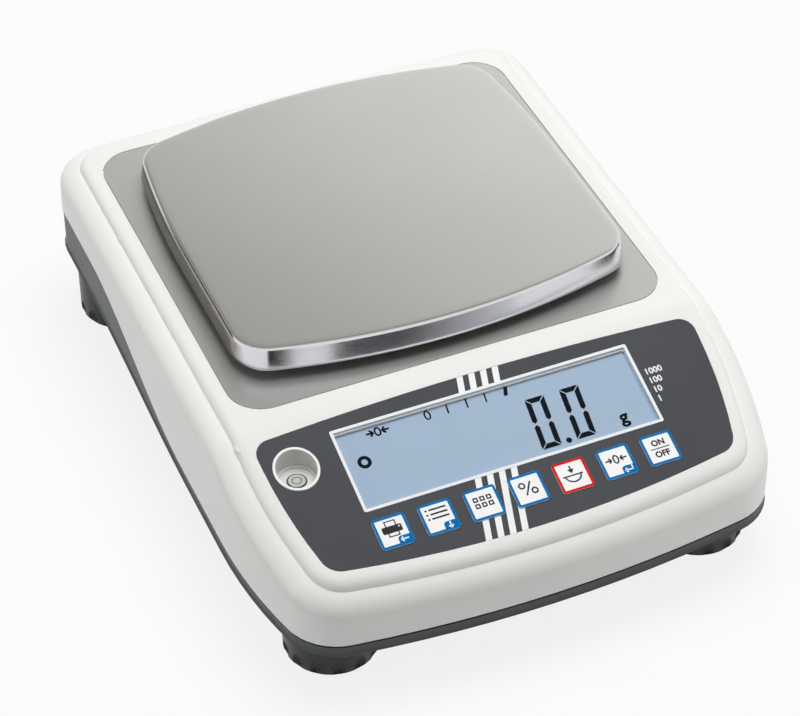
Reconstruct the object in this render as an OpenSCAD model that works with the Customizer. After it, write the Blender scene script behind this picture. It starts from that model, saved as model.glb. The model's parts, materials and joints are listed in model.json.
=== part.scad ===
// Precision balance: moulded housing on four levelling feet, weighing pan on a load cell,
// sloping front panel with a display, seven keys and a spirit level.
// Millimetres, +Z up, front towards -Y, origin under the middle of the body on the table.

/* [Feet] */
// How far the rubber pad stands below the knob
pad_proud = 1; // [0.5:0.1:2]
// Thickness of the rubber pad
pad_t = 3; // [2:0.1:4]
// Diameter of the rubber pad
pad_d = 29; // [24:0.5:30]
// Play between the pad and the knob that turns on it
pad_play = 0.1; // [0.05:0.01:0.3]
// Gap round the pad in its recess
pad_gap = 0.3; // [0.2:0.05:0.5]
// Diameter of the knob
knob_d = 37; // [35:0.5:38]
// Height of the knob
knob_h = 29.7; // [26:0.1:32]
// Bevel of the knob's edges
knob_bevel = 1.5; // [0.5:0.1:2]
// Gap between the knob and its seat when it is screwed home
knob_gap = 0.3; // [0.1:0.05:1]
// Number of finger scoops round the knob
scoop_count = 14; // [8:1:14]
// Diameter of the ball that a scoop follows
scoop_d = 8.4; // [7:0.1:9]
// Height of a scoop's middle over the knob's lower edge
scoop_h = 3.8; // [3.6:0.1:8]
// How deep a scoop goes into the knob
scoop_depth = 1.6; // [1:0.1:2]
// Diameter of the stud
stud_d = 8; // [6:0.1:9]
// Length of the stud above the seat
stud_l = 16; // [13:0.5:18]
// Play between the stud and its threaded insert
stud_play = 0.05; // [0.02:0.01:0.1]
// Gap round the stud in its seat
stud_gap = 0.5; // [0.3:0.05:0.8]
// Diameter of the threaded insert
insert_d = 12; // [11:0.1:13]
// Height of the threaded insert
insert_h = 13; // [10:0.1:14]
// Wall round the threaded insert
insert_wall = 3; // [2:0.1:4]
// Wall of a front foot's pocket
pocket_wall = 2; // [1.6:0.1:3]
// Gap round a knob in its pocket
foot_clear = 1.2; // [0.8:0.1:1.4]
// Distance of the front feet from the centre line
foot_front_x = 77.5; // [70:0.5:78]
// Distance of the back feet from the centre line
foot_back_x = 85; // [78:0.5:86]
// Distance of the front feet from the front end
foot_front_inset = 34.7; // [33:0.1:40]
// Distance of the back feet from the back end
foot_back_inset = 27.7; // [25:0.1:34]

/* [Base] */
// Thickness of the floor
base_t = 3; // [2.5:0.1:4]
// How much higher the underside is at the back
base_rise = 8.5; // [6:0.1:10]
// Length of the curve in which the underside rises
rise_l = 120; // [100:1:130]
// Height of the dark band at the front
band_front = 6.7; // [5.5:0.1:8]
// Height of the dark band at the back
band_back = 21.6; // [18:0.1:23]
// Height of the bevel along the lower edge
bevel_h = 1.3; // [0.6:0.1:1.6]
// Width of the bevel along the lower edge
bevel_w = 1.3; // [0.5:0.1:2]
// Height of the sloping foot of the band, above the bevel
foot_h = 1.3; // [0.6:0.1:1.6]
// How far the foot of the band stands out
foot_w = 0.7; // [0.3:0.1:1]
// How far the band stands behind the lower edge of the housing
band_inset = 0.4; // [0.2:0.1:1]
// Dark gap between the housing and the band
shadow_gap = 1.3; // [0.8:0.1:1.6]
// Height of the tongue that reaches into the housing
tongue_h = 4; // [2:0.1:5]
// Thickness of the tongue
tongue_t = 2.2; // [1.6:0.1:2.6]
// Gap between the tongue and the housing
tongue_gap = 0.5; // [0.4:0.05:0.7]

/* [Housing] */
// Height from the lower edge at the front to the deck
side_h = 44.8; // [42:0.1:50]
// Width of the rounded shoulder outside the groove
shoulder_w = 8.7; // [8:0.1:10]
// How much narrower the shoulder is at the front
front_nip = 1.72; // [0:0.01:2.5]
// Height of the rounded shoulder
shoulder_h = 7; // [5.5:0.1:9]
// Depth of the groove below the deck
groove_depth = 3.2; // [2:0.1:3.6]
// Width of the rounding from the deck into the groove
edge_w = 3.5; // [2:0.1:5]
// How far the wall leans out at its lower edge
draft = 0.3; // [0.1:0.1:0.8]
// Thickness of the wall
wall = 2.4; // [2:0.1:2.8]
// Thickness of the deck
deck_t = 3.2; // [2.8:0.1:3.6]
// Corner radius of the groove at the back
back_r = 11; // [10:0.5:18]
// Corner radius of the groove at the front
front_r = 14; // [10:0.5:18]
// Radius of the bowed back
back_bow = 2500; // [1500:100:4000]
// Radius of the sides where they draw in to the front
side_r = 190; // [150:5:230]
// Angle by which the sides draw in to the front
taper = 15.5; // [10:0.5:17]
// Radius of the bowed front
bow_r = 528; // [400:10:700]
// Middle of the curve in the lower edge, in front of the middle of the tray
seam_curve_y = 4; // [-4:1:10]
// Length of the curve in the lower edge
seam_curve_l = 100; // [80:1:110]
// Thickness of the housing over the shoulder
roof_t = 3; // [2.4:0.1:3.4]
// Diameter of an upper screw boss
boss_d = 9; // [8:0.1:10]
// Diameter of a lower screw boss
lower_boss_d = 11; // [10.5:0.1:12]
// Height of the screw seats above the raised underside
boss_rise = 9; // [8:0.1:12]
// Distance of the middle screw bosses behind the middle of the tray
boss_middle_y = 34; // [20:1:40]
// Distance of the front screw bosses in front of the bend
boss_front_y = 4; // [0:0.5:8]
// Distance of the screw bosses from the groove
boss_inset = 4.5; // [4.5:0.1:8]
// Distance of the back screw bosses from the centre line
boss_back_x = 15; // [10:1:25]
// Diameter of the housing screws
screw_d = 3.5; // [3:0.1:4]
// Length of the housing screws
screw_l = 18; // [14:0.5:24]
// Height of the housing screws' heads
screw_head_h = 2.6; // [2:0.1:3]
// Play of screws and inserts in the holes that hold them
thread_play = 0.05; // [0.02:0.01:0.1]
// Play of screws in the holes that they pass through
hole_play = 0.15; // [0.1:0.01:0.3]
// Gap round a sunk screw head
head_gap = 0.4; // [0.2:0.05:0.6]

/* [Deck] */
// Width of the tray plate
tray_w = 180; // [172:0.5:188]
// Depth of the tray plate
tray_d = 168; // [160:0.5:176]
// Corner radius of the tray plate
tray_r = 14; // [10:0.5:20]
// Thickness of the tray plate
tray_t = 1; // [0.8:0.1:1.5]
// Gap round the tray plate
tray_gap = 0.4; // [0.2:0.05:0.6]
// Deck between the tray plate and the groove, at the sides
tray_side_margin = 7; // [6:0.1:9]
// Deck between the tray plate and the groove, at the back
tray_back_margin = 9.7; // [8:0.1:12]
// Deck between the tray plate and the bend
bend_margin = 8.3; // [6:0.1:11]
// Half length of the rounded bend
bend_r = 3; // [1:0.1:4]
// Slope of the front panel
panel_tilt = 17; // [15:0.5:19]
// Width of the ledge under the tray plate
ledge_w = 24; // [16:0.5:28]

/* [Front panel] */
// Length of the slope from the bend to the groove
panel_run = 78.4; // [75:0.1:82]
// Thickness of the panel
panel_t = 1; // [0.8:0.05:1.2]
// Distance of the panel from the groove
panel_margin = 6; // [5:0.1:7]
// Distance of the panel from the bend
panel_top = 3.4; // [3.2:0.1:5]
// Corner radius of the panel's upper corners
panel_r = 6; // [3:0.5:8]
// Radius of the panel's bowed upper edge
panel_bow = 1400; // [1000:50:2000]
// Gap round the panel
panel_gap = 0.15; // [0.1:0.01:0.3]
// Width of the display window
window_w = 123.5; // [116:0.1:126]
// Height of the display window
window_h = 35.3; // [33:0.1:36]
// Corner radius of the display window
window_r = 1.5; // [0.5:0.1:3]
// Thickness of the display window
window_t = 0.9; // [0.6:0.05:1]
// Gap round the display window
window_gap = 0.1; // [0.05:0.01:0.2]
// Distance of the display window from the bend
window_top = 10.9; // [9:0.1:12]
// Ledge that the display window lies on
window_ledge = 1.1; // [0.9:0.1:3]
// Distance of the display glass behind the window
glass_drop = 1.2; // [0.6:0.1:1.6]
// Thickness of the display glass
glass_t = 2.8; // [2.6:0.1:3.2]
// How far the display holder stands past the display glass
holder_over = 1; // [0.5:0.1:1.2]
// Width of the display holder's frame
holder_frame = 5; // [3:0.1:6]
// Thickness of the display holder's floor
holder_floor = 1; // [0.6:0.1:1.4]
// Thickness of the display holder
holder_t = 2.6; // [2:0.1:3]
// Side of a square key
key_size = 13; // [11:0.1:14]
// Distance from key to key
key_pitch = 18.3; // [17.5:0.1:19]
// Distance of the key row from the display window
key_row = 10.7; // [10:0.1:11.5]
// Play round a key
key_play = 0.1; // [0.05:0.01:0.2]
// How far a key stands out of the panel
key_rise = 0.5; // [0.3:0.05:1]
// Corner radius of a key
key_r = 1.2; // [0.6:0.1:2]
// Rim that holds a key behind the deck
key_rim = 1.2; // [0.8:0.1:1.4]
// Thickness of that rim
key_rim_t = 1; // [0.8:0.05:1.4]
// Gap between that rim and the deck
key_rim_gap = 0.25; // [0.1:0.05:0.4]
// Length of a key's stem
stem_l = 1.2; // [0.8:0.1:2]
// Distance that a key travels
key_travel = 0.5; // [0.3:0.05:0.8]
// Gap between a pressed key and its switch
switch_gap = 0.1; // [0.05:0.05:0.2]
// Height of a key switch
switch_h = 1.9; // [1.5:0.1:2.5]
// Side of a key switch
switch_w = 6; // [5:0.1:7]

/* [Spirit level] */
// Outer diameter of the level cup
level_d = 17.7; // [16:0.1:18]
// Wall of the level cup
level_wall = 1; // [0.8:0.1:1.4]
// Depth of the level cup down to its floor
level_depth = 6; // [5:0.1:7]
// Width of the step round the floor
level_step_w = 1.1; // [0.6:0.1:2]
// Height of the step round the floor
level_step_h = 0.7; // [0.4:0.1:1.2]
// How far the level's rim stands out of the panel
level_rise = 0.5; // [0.2:0.1:1]
// Distance of the level from the centre line
level_x = 79; // [76:0.1:79.5]
// Distance of the level from the bend
level_v = 21.2; // [18:0.1:24]
// Diameter of the level vial
vial_d = 7.6; // [6:0.1:9]
// Height of the level vial
vial_h = 6.5; // [5:0.1:7]
// How far the level vial stands above the floor
vial_proud = 0.3; // [0.1:0.1:1]
// Play round the level vial
vial_play = 0.1; // [0.05:0.01:0.2]

/* [Pan] */
// Width of the pan's flat top
pan_w = 163; // [150:0.5:166]
// Depth of the pan's flat top
pan_d = 153.6; // [145:0.2:158]
// Corner radius of the pan
pan_r = 15; // [10:0.5:25]
// Radius of the pan's bowed front and back edges
pan_bow = 282; // [240:2:500]
// Radius of the pan's sides, which draw in towards the back
pan_side = 388; // [320:2:900]
// Thickness of the pan's sheet
pan_t = 1.2; // [0.8:0.1:1.5]
// Height of the pan's top above the deck
pan_rise = 13.5; // [12.5:0.1:16]
// Height of the pan's skirt
pan_skirt = 9.2; // [8:0.1:10]
// How far the skirt flares out
pan_flare = 2.3; // [1:0.1:3]
// How far the rounded upper edge stands out
pan_shoulder = 0.3; // [0:0.05:0.6]
// Rounding of the pan's upper edge
pan_edge = 1.8; // [1.3:0.1:2.5]

/* [Load cell] */
// Length of the load cell
cell_l = 130; // [120:0.5:140]
// Width of the load cell
cell_w = 30; // [26:0.5:36]
// Height of the load cell
cell_h = 22; // [18:0.5:24]
// Diameter of the load cell's two flexure bores
cell_bore = 15; // [12:0.5:16]
// Distance between the flexure bores
cell_bore_pitch = 26; // [20:0.5:32]
// Length of the load cell's clamped ends
cell_end = 26; // [22:0.5:30]
// Screw diameter at the load cell
cell_screw_d = 5.8; // [5:0.1:6]
// Distance between the two screws at one end
cell_screw_pitch = 15; // [13:0.5:17]
// Depth of the screw holes in the load cell
cell_screw_depth = 7; // [5:0.5:8]
// Free depth under the end of a screw
screw_short = 1; // [0.5:0.1:2]
// Height of a screw head at the load cell
cell_head_h = 3; // [2.5:0.1:4]
// Distance from the tray plate down to the carrier bracket
carrier_drop = 7; // [6:0.1:9]
// Thickness of the carrier bracket
bracket_t = 3; // [2.5:0.1:4]
// Half depth of the carrier bracket
bracket_half_d = 34; // [32:0.5:40]
// Thickness of the spacer between the load cell and the bracket
spacer_t = 2; // [1.5:0.1:3]
// Diameter of the carrier post
post_d = 24; // [20:0.5:28]
// Diameter of the carrier's hub
hub_d = 32; // [28:0.5:40]
// Diameter of the hole for the post in the tray plate
post_hole_d = 36; // [32:0.5:40]
// Thickness of the carrier's arms
arm_t = 4; // [3:0.1:4.5]
// Width of the carrier's arms
arm_w = 16; // [12:0.5:20]
// Diameter of the arms' round ends
arm_end_d = 20; // [16:0.5:24]
// Diameter of a rubber bumper
bumper_d = 14; // [10:0.5:16]
// Height of a rubber bumper
bumper_h = 4; // [3.5:0.1:5]
// Distance of the bumpers from the middle, across
bumper_x = 54; // [46:0.5:60]
// Distance of the bumpers from the middle, front to back
bumper_y = 48; // [42:0.5:54]
// Diameter of an overload stop
stop_d = 8; // [6:0.1:10]
// Distance of an overload stop from the bracket's edge
stop_edge = 1; // [0.5:0.1:3]
// Gap above the overload stops
stop_gap = 0.6; // [0.5:0.05:1]
// Width of the seat round an overload stop
stop_seat_w = 1.5; // [1:0.1:3]
// Thickness of the pad under the load cell's mount
cell_pad_t = 11.5; // [10.5:0.1:12.5]

/* [Electronics] */
// Thickness of the circuit boards
board_t = 1.6; // [1:0.1:2]
// Width of the main board
main_w = 104; // [90:1:106]
// Depth of the main board
main_d = 62; // [50:1:64]
// Distance of the main board from the front end
main_inset = 23.7; // [22:0.1:27]
// Height of the main board above the floor
main_rise = 5.5; // [4:0.1:8]
// Diameter of a board standoff
standoff_d = 6; // [5:0.1:7]
// Distance of a board screw from the board's edge
board_edge = 4; // [3.5:0.1:5]
// Diameter of a board screw
board_screw_d = 2.5; // [2:0.1:3]
// Overhang of the display board past the display glass
display_over = 6; // [6:0.1:8]
// Diameter of the pegs that hold the display and keypad boards
peg_d = 4.5; // [4:0.1:5]
// Distance of a peg from the end of its board
peg_edge = 0.5; // [0.2:0.1:1]
// Distance of a keypad peg from the next key
peg_gap = 1; // [0.6:0.1:2]
// Distance of the power inlet from the centre line
jack_x = 50; // [40:1:60]
// Distance of the data port from the centre line
port_x = 52; // [45:1:60]
// Height of both above the underside
rear_rise = 10; // [9:0.1:11]
// Diameter of the power inlet's nose
jack_d = 8.6; // [8:0.1:9.5]
// Wall of the power inlet round its nose
jack_wall = 2; // [1.5:0.1:3]
// Thickness of the power inlet's closed end
jack_end = 3; // [2:0.1:4]
// Distance of the power inlet's pin behind its mouth
pin_inset = 2; // [1:0.1:4]
// Diameter of the power inlet's bore
jack_bore = 5.6; // [5:0.1:6.5]
// Diameter of the power inlet's pin
jack_pin = 2; // [1.3:0.1:2.5]
// Width of the data port's shell
port_w = 17; // [16:0.1:18]
// Height of the data port's shell
port_h = 9; // [8:0.1:9.5]
// Lean of the data port's sides
port_slant = 10; // [8:0.5:12]
// Width of the data port's flange
flange_w = 31; // [28:0.1:31]
// Height of the data port's flange
flange_h = 12.5; // [11:0.1:12.5]
// Thickness of the data port's flange
flange_t = 1.2; // [0.8:0.1:2]
// Depth of the data port's body behind its flange
port_body = 8; // [6:0.1:12]
// Depth of the data port's contact holes
contact_depth = 5; // [3:0.1:6]
// Diameter of the data port's contact holes
contact_d = 1.1; // [0.9:0.05:1.3]
// Distance of both from the back of the band
rear_inset = 0.3; // [0.1:0.05:1]
// Gap round the inlet and the port
rear_gap = 0.3; // [0.2:0.05:0.5]

/* [Hidden] */
$fn = 48;
over = 1;
key_names = ["key_print", "key_mode", "key_count", "key_percent", "key_tare", "key_zero", "key_power"];
key_total = len(key_names);

// Heights, from the table up
seat_z = pad_proud + knob_h + knob_gap;
under_back_z = seat_z;
under_front_z = under_back_z - base_rise;
seam_front_z = under_front_z + band_front;
seam_back_z = under_back_z + band_back;
deck_z = seam_front_z + side_h;
floor_z = under_front_z + base_t;
pan_top_z = deck_z + pan_rise;
bracket_top_z = deck_z - tray_t - carrier_drop;
bracket_z = bracket_top_z - bracket_t;
cell_top_z = bracket_z - spacer_t;
cell_z = cell_top_z - cell_h;
cell_pad_z = under_front_z + cell_pad_t;
boss_z = under_back_z + boss_rise;
rear_z = under_back_z + rear_rise;
stop_seat_z = under_back_z + base_t;

// Offsets from the groove, outwards
lip_out = shoulder_w + draft;
band_out = lip_out - band_inset;
tongue_out = lip_out - wall - tongue_gap;
tongue_in = tongue_out - tongue_t;

// Places in plan
groove_half = tray_w / 2 + tray_side_margin;
body_d = 2 * lip_out - front_nip + tray_back_margin + tray_d + bend_margin + panel_run * cos(panel_tilt);
groove_back = body_d / 2 - lip_out;
groove_front = -groove_back - front_nip;
tray_y = groove_back - tray_back_margin - tray_d / 2;
bend_y = tray_y - tray_d / 2 - bend_margin;
foot_front_y = -body_d / 2 + foot_front_inset;
foot_back_y = body_d / 2 - foot_back_inset;
feet = [
    [-foot_front_x, foot_front_y],
    [foot_front_x, foot_front_y],
    [-foot_back_x, foot_back_y],
    [foot_back_x, foot_back_y]
];
screw_points = [
    for (s = [-1, 1]) each [
        [s * (groove_half - boss_inset), tray_y + boss_middle_y],
        [s * (groove_half - boss_inset), bend_y - boss_front_y],
        [s * boss_back_x, groove_back - boss_inset]
    ]
];

// The seat of the inlet and the port in the back wall, and the ends of their noses
rear_seat_y = groove_back + tongue_in;
rear_nose_y = groove_back + band_out - rear_inset;
jack_side = jack_d + 2 * jack_wall;

// Screw heads
screw_head_d = 2 * screw_d;
cell_head_d = 5 / 3 * cell_screw_d;
board_head_d = 2 * board_screw_d;

// Arcs of the plan outline: sides that draw in, front corners and the bowed front
taper_x = groove_half - side_r * (1 - cos(taper));
front_cx = taper_x - front_r * cos(taper);
bow = asin(front_cx / (bow_r - front_r));
bow_cy = groove_front + bow_r;
front_cy = bow_cy - (bow_r - front_r) * cos(bow);
side_bend_y = front_cy - front_r * sin(taper) + side_r * sin(taper);
back_cx = groove_half - back_r;
back_lean = asin(back_cx / (back_bow - back_r));
side_back_y = groove_back - back_bow + (back_bow - back_r) * cos(back_lean);

// Steps along the outline
corner_steps = 8;
taper_steps = 6;
bow_steps = 6;
back_steps = 3;
side_steps = 28;
bend_steps = 4;
drop_steps = 3;

function span(a, b, n) = [for (i = [0:n]) a + (b - a) * i / n];
function tail(list) = [for (i = [1:len(list) - 1]) list[i]];
function inner(list) = [for (i = [1:len(list) - 2]) list[i]];
function arc(c, r, a0, a1, n) = [for (a = span(a0, a1, n)) c + r * [cos(a), sin(a)]];
// Where two circles meet, to the right of the line from the first centre to the second
function meeting(c0, r0, c1, r1) =
    let (
        way = c1 - c0,
        d = norm(way),
        u = way / d,
        along = (r0 * r0 - r1 * r1 + d * d) / (2 * d)
    ) c0 + along * u + sqrt(r0 * r0 - along * along) * [u[1], -u[0]];
function smooth(t) = let (u = max(0, min(1, t))) u * u * (3 - 2 * u);

// A closed outline from its right half, which runs from the back to the front
function mirrored(half) = concat(half, [for (i = [len(half) - 2:-1:1]) [-half[i][0], half[i][1]]]);

// Heights along the body: the deck, the lower edge of the housing and the underside
function deck(y) =
    y > bend_y + bend_r ? deck_z
    : y < bend_y - bend_r ? deck_z - (bend_y - y) * tan(panel_tilt)
    : deck_z - pow(bend_y + bend_r - y, 2) / (4 * bend_r) * tan(panel_tilt);
function seam(y) =
    seam_front_z + (seam_back_z - seam_front_z) * smooth((y - tray_y + seam_curve_y) / seam_curve_l + 0.5);
function under(y) =
    under_front_z + base_rise * smooth((y - foot_back_y + knob_d / 2 + foot_clear) / rise_l + 1);

// Front part of the plan outline, which the body and the panel share
function nip(o) = front_nip * max(0, o) / lip_out;
function front_half(o) = let (back = nip(o)) concat(
    arc([groove_half - side_r, side_bend_y], side_r + o, 0, -taper, taper_steps),
    tail(arc([front_cx + back * tan(taper), front_cy + back], front_r + o, -taper, bow - 90, corner_steps)),
    tail(arc([0, bow_cy + back], bow_r + o, bow - 90, -90, bow_steps))
);

// Plan outline of the body at an offset from the groove
side_ys = concat(
    span(side_back_y, bend_y + bend_r, side_steps),
    tail(span(bend_y + bend_r, bend_y - bend_r, bend_steps)),
    tail(span(bend_y - bend_r, side_bend_y, drop_steps))
);
function outline(o) = mirrored(concat(
    arc([0, groove_back - back_bow], back_bow + o, 90, 90 - back_lean, back_steps),
    tail(arc([back_cx, side_back_y], back_r + o, 90 - back_lean, 0, corner_steps)),
    [for (y = inner(side_ys)) [groove_half + o, y]],
    front_half(o)
));
function ring(o, height) = [for (p = outline(o)) [p[0], p[1], height(p[1])]];

// Plan outline of the front panel
panel_back_y = bend_y - panel_top * cos(panel_tilt);
panel_half = groove_half - panel_margin;
panel_lean = asin((panel_half - panel_r) / (panel_bow - panel_r));
panel_corner_y = panel_back_y - panel_bow + (panel_bow - panel_r) * cos(panel_lean);
function panel_outline(o) = mirrored(concat(
    arc([0, panel_back_y - panel_bow], panel_bow + o, 90, 90 - panel_lean, bow_steps),
    tail(arc([panel_half - panel_r, panel_corner_y], panel_r + o, 90 - panel_lean, 0, corner_steps)),
    [for (p = front_half(o - panel_margin)) if (p[1] < panel_corner_y) p]
));

// Plan outline of the pan, bowed at the front and the back, with sides that draw in towards the back
pan_cx = pan_w / 2 - pan_r;
pan_lean = asin(pan_cx / (pan_bow - pan_r));
pan_bow_y = pan_d / 2 - pan_bow;
pan_cy = pan_bow_y + (pan_bow - pan_r) * cos(pan_lean);
pan_bow_c = [0, pan_bow_y];
pan_side_c = [pan_w / 2 - pan_side, 0];
pan_back_c = meeting(pan_bow_c, pan_bow - pan_r, pan_side_c, pan_side - pan_r);
pan_back_lean = atan2(pan_back_c[0], pan_back_c[1] - pan_bow_y);
pan_side_turn = atan2(pan_back_c[1], pan_back_c[0] - pan_side_c[0]);
function pan_outline(o) = mirrored(concat(
    arc(pan_bow_c, pan_bow + o, 90, 90 - pan_back_lean, bow_steps),
    tail(arc(pan_back_c, pan_r + o, 90 - pan_back_lean, pan_side_turn, corner_steps)),
    tail(arc(pan_side_c, pan_side + o, pan_side_turn, 0, bow_steps)),
    arc([pan_cx, -pan_cy], pan_r + o, 0, pan_lean - 90, corner_steps),
    tail(arc(-pan_bow_c, pan_bow + o, pan_lean - 90, -90, bow_steps))
));
function pan_ring(o, z) = [for (p = pan_outline(o)) [p[0], p[1] + tray_y, z]];

// Depths below the sloping panel's face, along its normal
deck_back = deck_t * cos(panel_tilt);
glass_front = panel_t + glass_drop;
glass_back = glass_front + glass_t;
holder_back = glass_back + holder_t;
rim_front = deck_back + key_rim_gap;
stem_back = rim_front + key_rim_t + stem_l;
switch_front = stem_back + key_travel + switch_gap;
keypad_front = switch_front + switch_h;
window_v = window_top + window_h / 2;
key_v = window_top + window_h + key_row;
glass_w = window_w - 2 * window_ledge;
glass_h = window_h - 2 * window_ledge;
holder_w = glass_w + 2 * holder_over;
holder_h = glass_h + 2 * holder_over;
key_hole = key_size + 2 * key_play;
key_rim_w = key_size + 2 * key_rim;
peg_end = peg_edge + peg_d / 2;
keypad_w = (key_total - 1) * key_pitch + key_rim_w + 2 * (peg_gap + peg_d + peg_edge);
display_board_w = glass_w + 2 * (display_over + peg_edge);
level_y = bend_y - level_v * cos(panel_tilt);
level_floor_z = deck(level_y) - level_depth;
vial_z = level_floor_z + vial_proud - vial_h;

function key_x(i) = (i - (key_total - 1) / 2) * key_pitch;

// A solid between rings of points that are stacked from its underside to its top.
// Both ends are closed from side to side, so a ring may follow the bend of the deck.
module loft(rings) {
    n = len(rings[0]);
    m = n / 2;
    last = (len(rings) - 1) * n;
    function strip(s) = [
        for (k = [0:m - 1]) each concat(
            k < m - 1 ? [[s + k, s + k + 1, s + n - k - 1]] : [],
            k > 0 ? [[s + k, s + n - k - 1, s + n - k]] : []
        )
    ];
    function turned(faces) = [for (f = faces) [f[2], f[1], f[0]]];
    sides = [
        for (j = [0:len(rings) - 2], i = [0:n - 1])
        let (a = j * n + i, b = j * n + (i + 1) % n)
        each [[a, b, b + n], [a, b + n, a + n]]
    ];
    polyhedron([for (r = rings) each r], concat(turned(strip(0)), sides, strip(last)));
}

// A rectangle with round corners
module rounded(w, d, r) {
    square([w - 2 * r, d], center = true);
    square([w, d - 2 * r], center = true);
    for (x = [-1, 1], y = [-1, 1])
        translate([x * (w / 2 - r), y * (d / 2 - r)]) circle(r);
}

// Places children on the sloping panel: X across, Y up the slope from the bend, Z out of the face
module on_panel() {
    translate([0, bend_y, deck_z]) rotate([panel_tilt, 0, 0]) children();
}

// A round-cornered block on the panel, from one depth to another
module panel_block(x, v, w, d, r, front, back) {
    on_panel() translate([x, -v, -back]) linear_extrude(back - front) rounded(w, d, r);
}

// A plate with the panel's outline, from one depth to another
module panel_slab(grow, front, back) {
    intersection() {
        translate([0, 0, deck_z - body_d]) linear_extrude(2 * body_d) polygon(panel_outline(grow));
        on_panel() translate([-body_d, -body_d, -back]) cube([2 * body_d, 2 * body_d, back - front]);
    }
}

// Everything up to a height over the panel's face
module under_panel(rise) {
    on_panel() translate([-body_d, -body_d, -body_d]) cube([2 * body_d, 2 * body_d, body_d + rise]);
}

// The openings that the panel and the deck behind it share
module panel_openings() {
    for (i = [0:key_total - 1])
        panel_block(key_x(i), key_v, key_hole, key_hole, key_r, -over, 2 * deck_t);
    bore([-level_x, level_y], level_d + 2 * window_gap, deck(level_y) - level_d, deck_z);
}

// An upright cylinder, and one that lies along the body, from one height or depth to another
module bore(p, d, z0, z1) {
    translate([p[0], p[1], z0]) cylinder(d = d, h = z1 - z0);
}

module lying(x, d, y0, y1) {
    translate([x, y0, rear_z]) rotate([-90, 0, 0]) cylinder(d = d, h = y1 - y0);
}

// A block in front of the back wall, and the room that is cut for it into the wall
module rear_block(x, w, h, r, y0, y1) {
    translate([x, y0, rear_z]) rotate([-90, 0, 0]) linear_extrude(y1 - y0) rounded(w, h, r);
}

module rear_seat(x, w, h) {
    rear_block(x, w + 2 * rear_gap, h + 2 * rear_gap, rear_gap, groove_back, rear_seat_y);
}

// A screw with its head below its seat, and one with its head above it
module screw(p, d, head_d, head_h, z, length) {
    bore(p, head_d, z - head_h, z);
    bore(p, d, z - head_h / 2, z + length);
}

module hanging_screw(p, d, head_d, head_h, z, length) {
    translate([0, 0, 2 * z]) mirror([0, 0, 1]) screw(p, d, head_d, head_h, z, length);
}

module top_housing() {
    outer = concat(
        [ring(lip_out, function (y) seam(y))],
        [for (a = [0:15:90])
            ring(shoulder_w * cos(a), function (y) deck(y) - groove_depth - shoulder_h * (1 - sin(a)))],
        [for (b = [30:30:90])
            ring(-edge_w * (1 - cos(b)), function (y) deck(y) - groove_depth * (1 - sin(b)))]
    );
    roof = groove_depth + roof_t;
    cavity = concat(
        [ring(lip_out - wall, function (y) seam(y) - over)],
        [for (a = [0:30:90])
            ring((shoulder_w - wall) * cos(a), function (y) deck(y) - roof - shoulder_h * (1 - sin(a)))],
        [ring(-edge_w - wall, function (y) deck(y) - deck_t)]
    );
    color("whitesmoke") difference() {
        union() {
            difference() {
                loft(outer);
                loft(cavity);
            }
            for (p = screw_points)
                bore(p, boss_d, boss_z, deck(p[1]) - deck_t / 2);
            for (x = [-1, 1], v = [-1, 1]) {
                display_peg(x, v, deck_t / 2, holder_back);
                keypad_peg(x, v, deck_t / 2, keypad_front);
            }
        }
        translate([0, tray_y, deck_z - tray_t])
            linear_extrude(tray_t + over) offset(delta = tray_gap) rounded(tray_w, tray_d, tray_r);
        translate([0, tray_y, deck_z - 2 * deck_t])
            linear_extrude(3 * deck_t) rounded(tray_w - 2 * ledge_w, tray_d - 2 * ledge_w, tray_r);
        panel_slab(panel_gap, -over, panel_t);
        window_hole(glass_w, glass_h);
        panel_openings();
        for (p = screw_points)
            bore(p, screw_d + 2 * thread_play, boss_z - over, boss_z + screw_l);
    }
}

// Hole for the window or for the display glass behind it
module window_hole(w, h) {
    panel_block(0, window_v, w + 2 * window_gap, h + 2 * window_gap, window_r, -over, 2 * deck_t);
}

// Pegs behind the deck that the display and keypad boards are fixed to
module display_peg(x, v, front, back) {
    on_panel()
        translate([x * (display_board_w / 2 - peg_end), v * (glass_h - peg_d) / 2 - window_v, -back])
            cylinder(d = peg_d, h = back - front);
}

module keypad_peg(x, v, front, back) {
    on_panel()
        translate([x * (keypad_w / 2 - peg_end), v * (key_size - peg_d) / 2 - key_v, -back])
            cylinder(d = peg_d, h = back - front);
}

// Pad for the load cell, which starts inside the sloping floor
module cell_pad() {
    front = tray_y - cell_w / 2;
    back = tray_y + cell_w / 2;
    translate([cell_fixed_x - cell_end / 2, 0, 0]) rotate([90, 0, 90]) linear_extrude(cell_end)
        polygon(concat(
            [for (y = span(front, back, bow_steps)) [y, under(y) + base_t / 2]],
            [[back, cell_pad_z], [front, cell_pad_z]]
        ));
}

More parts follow.
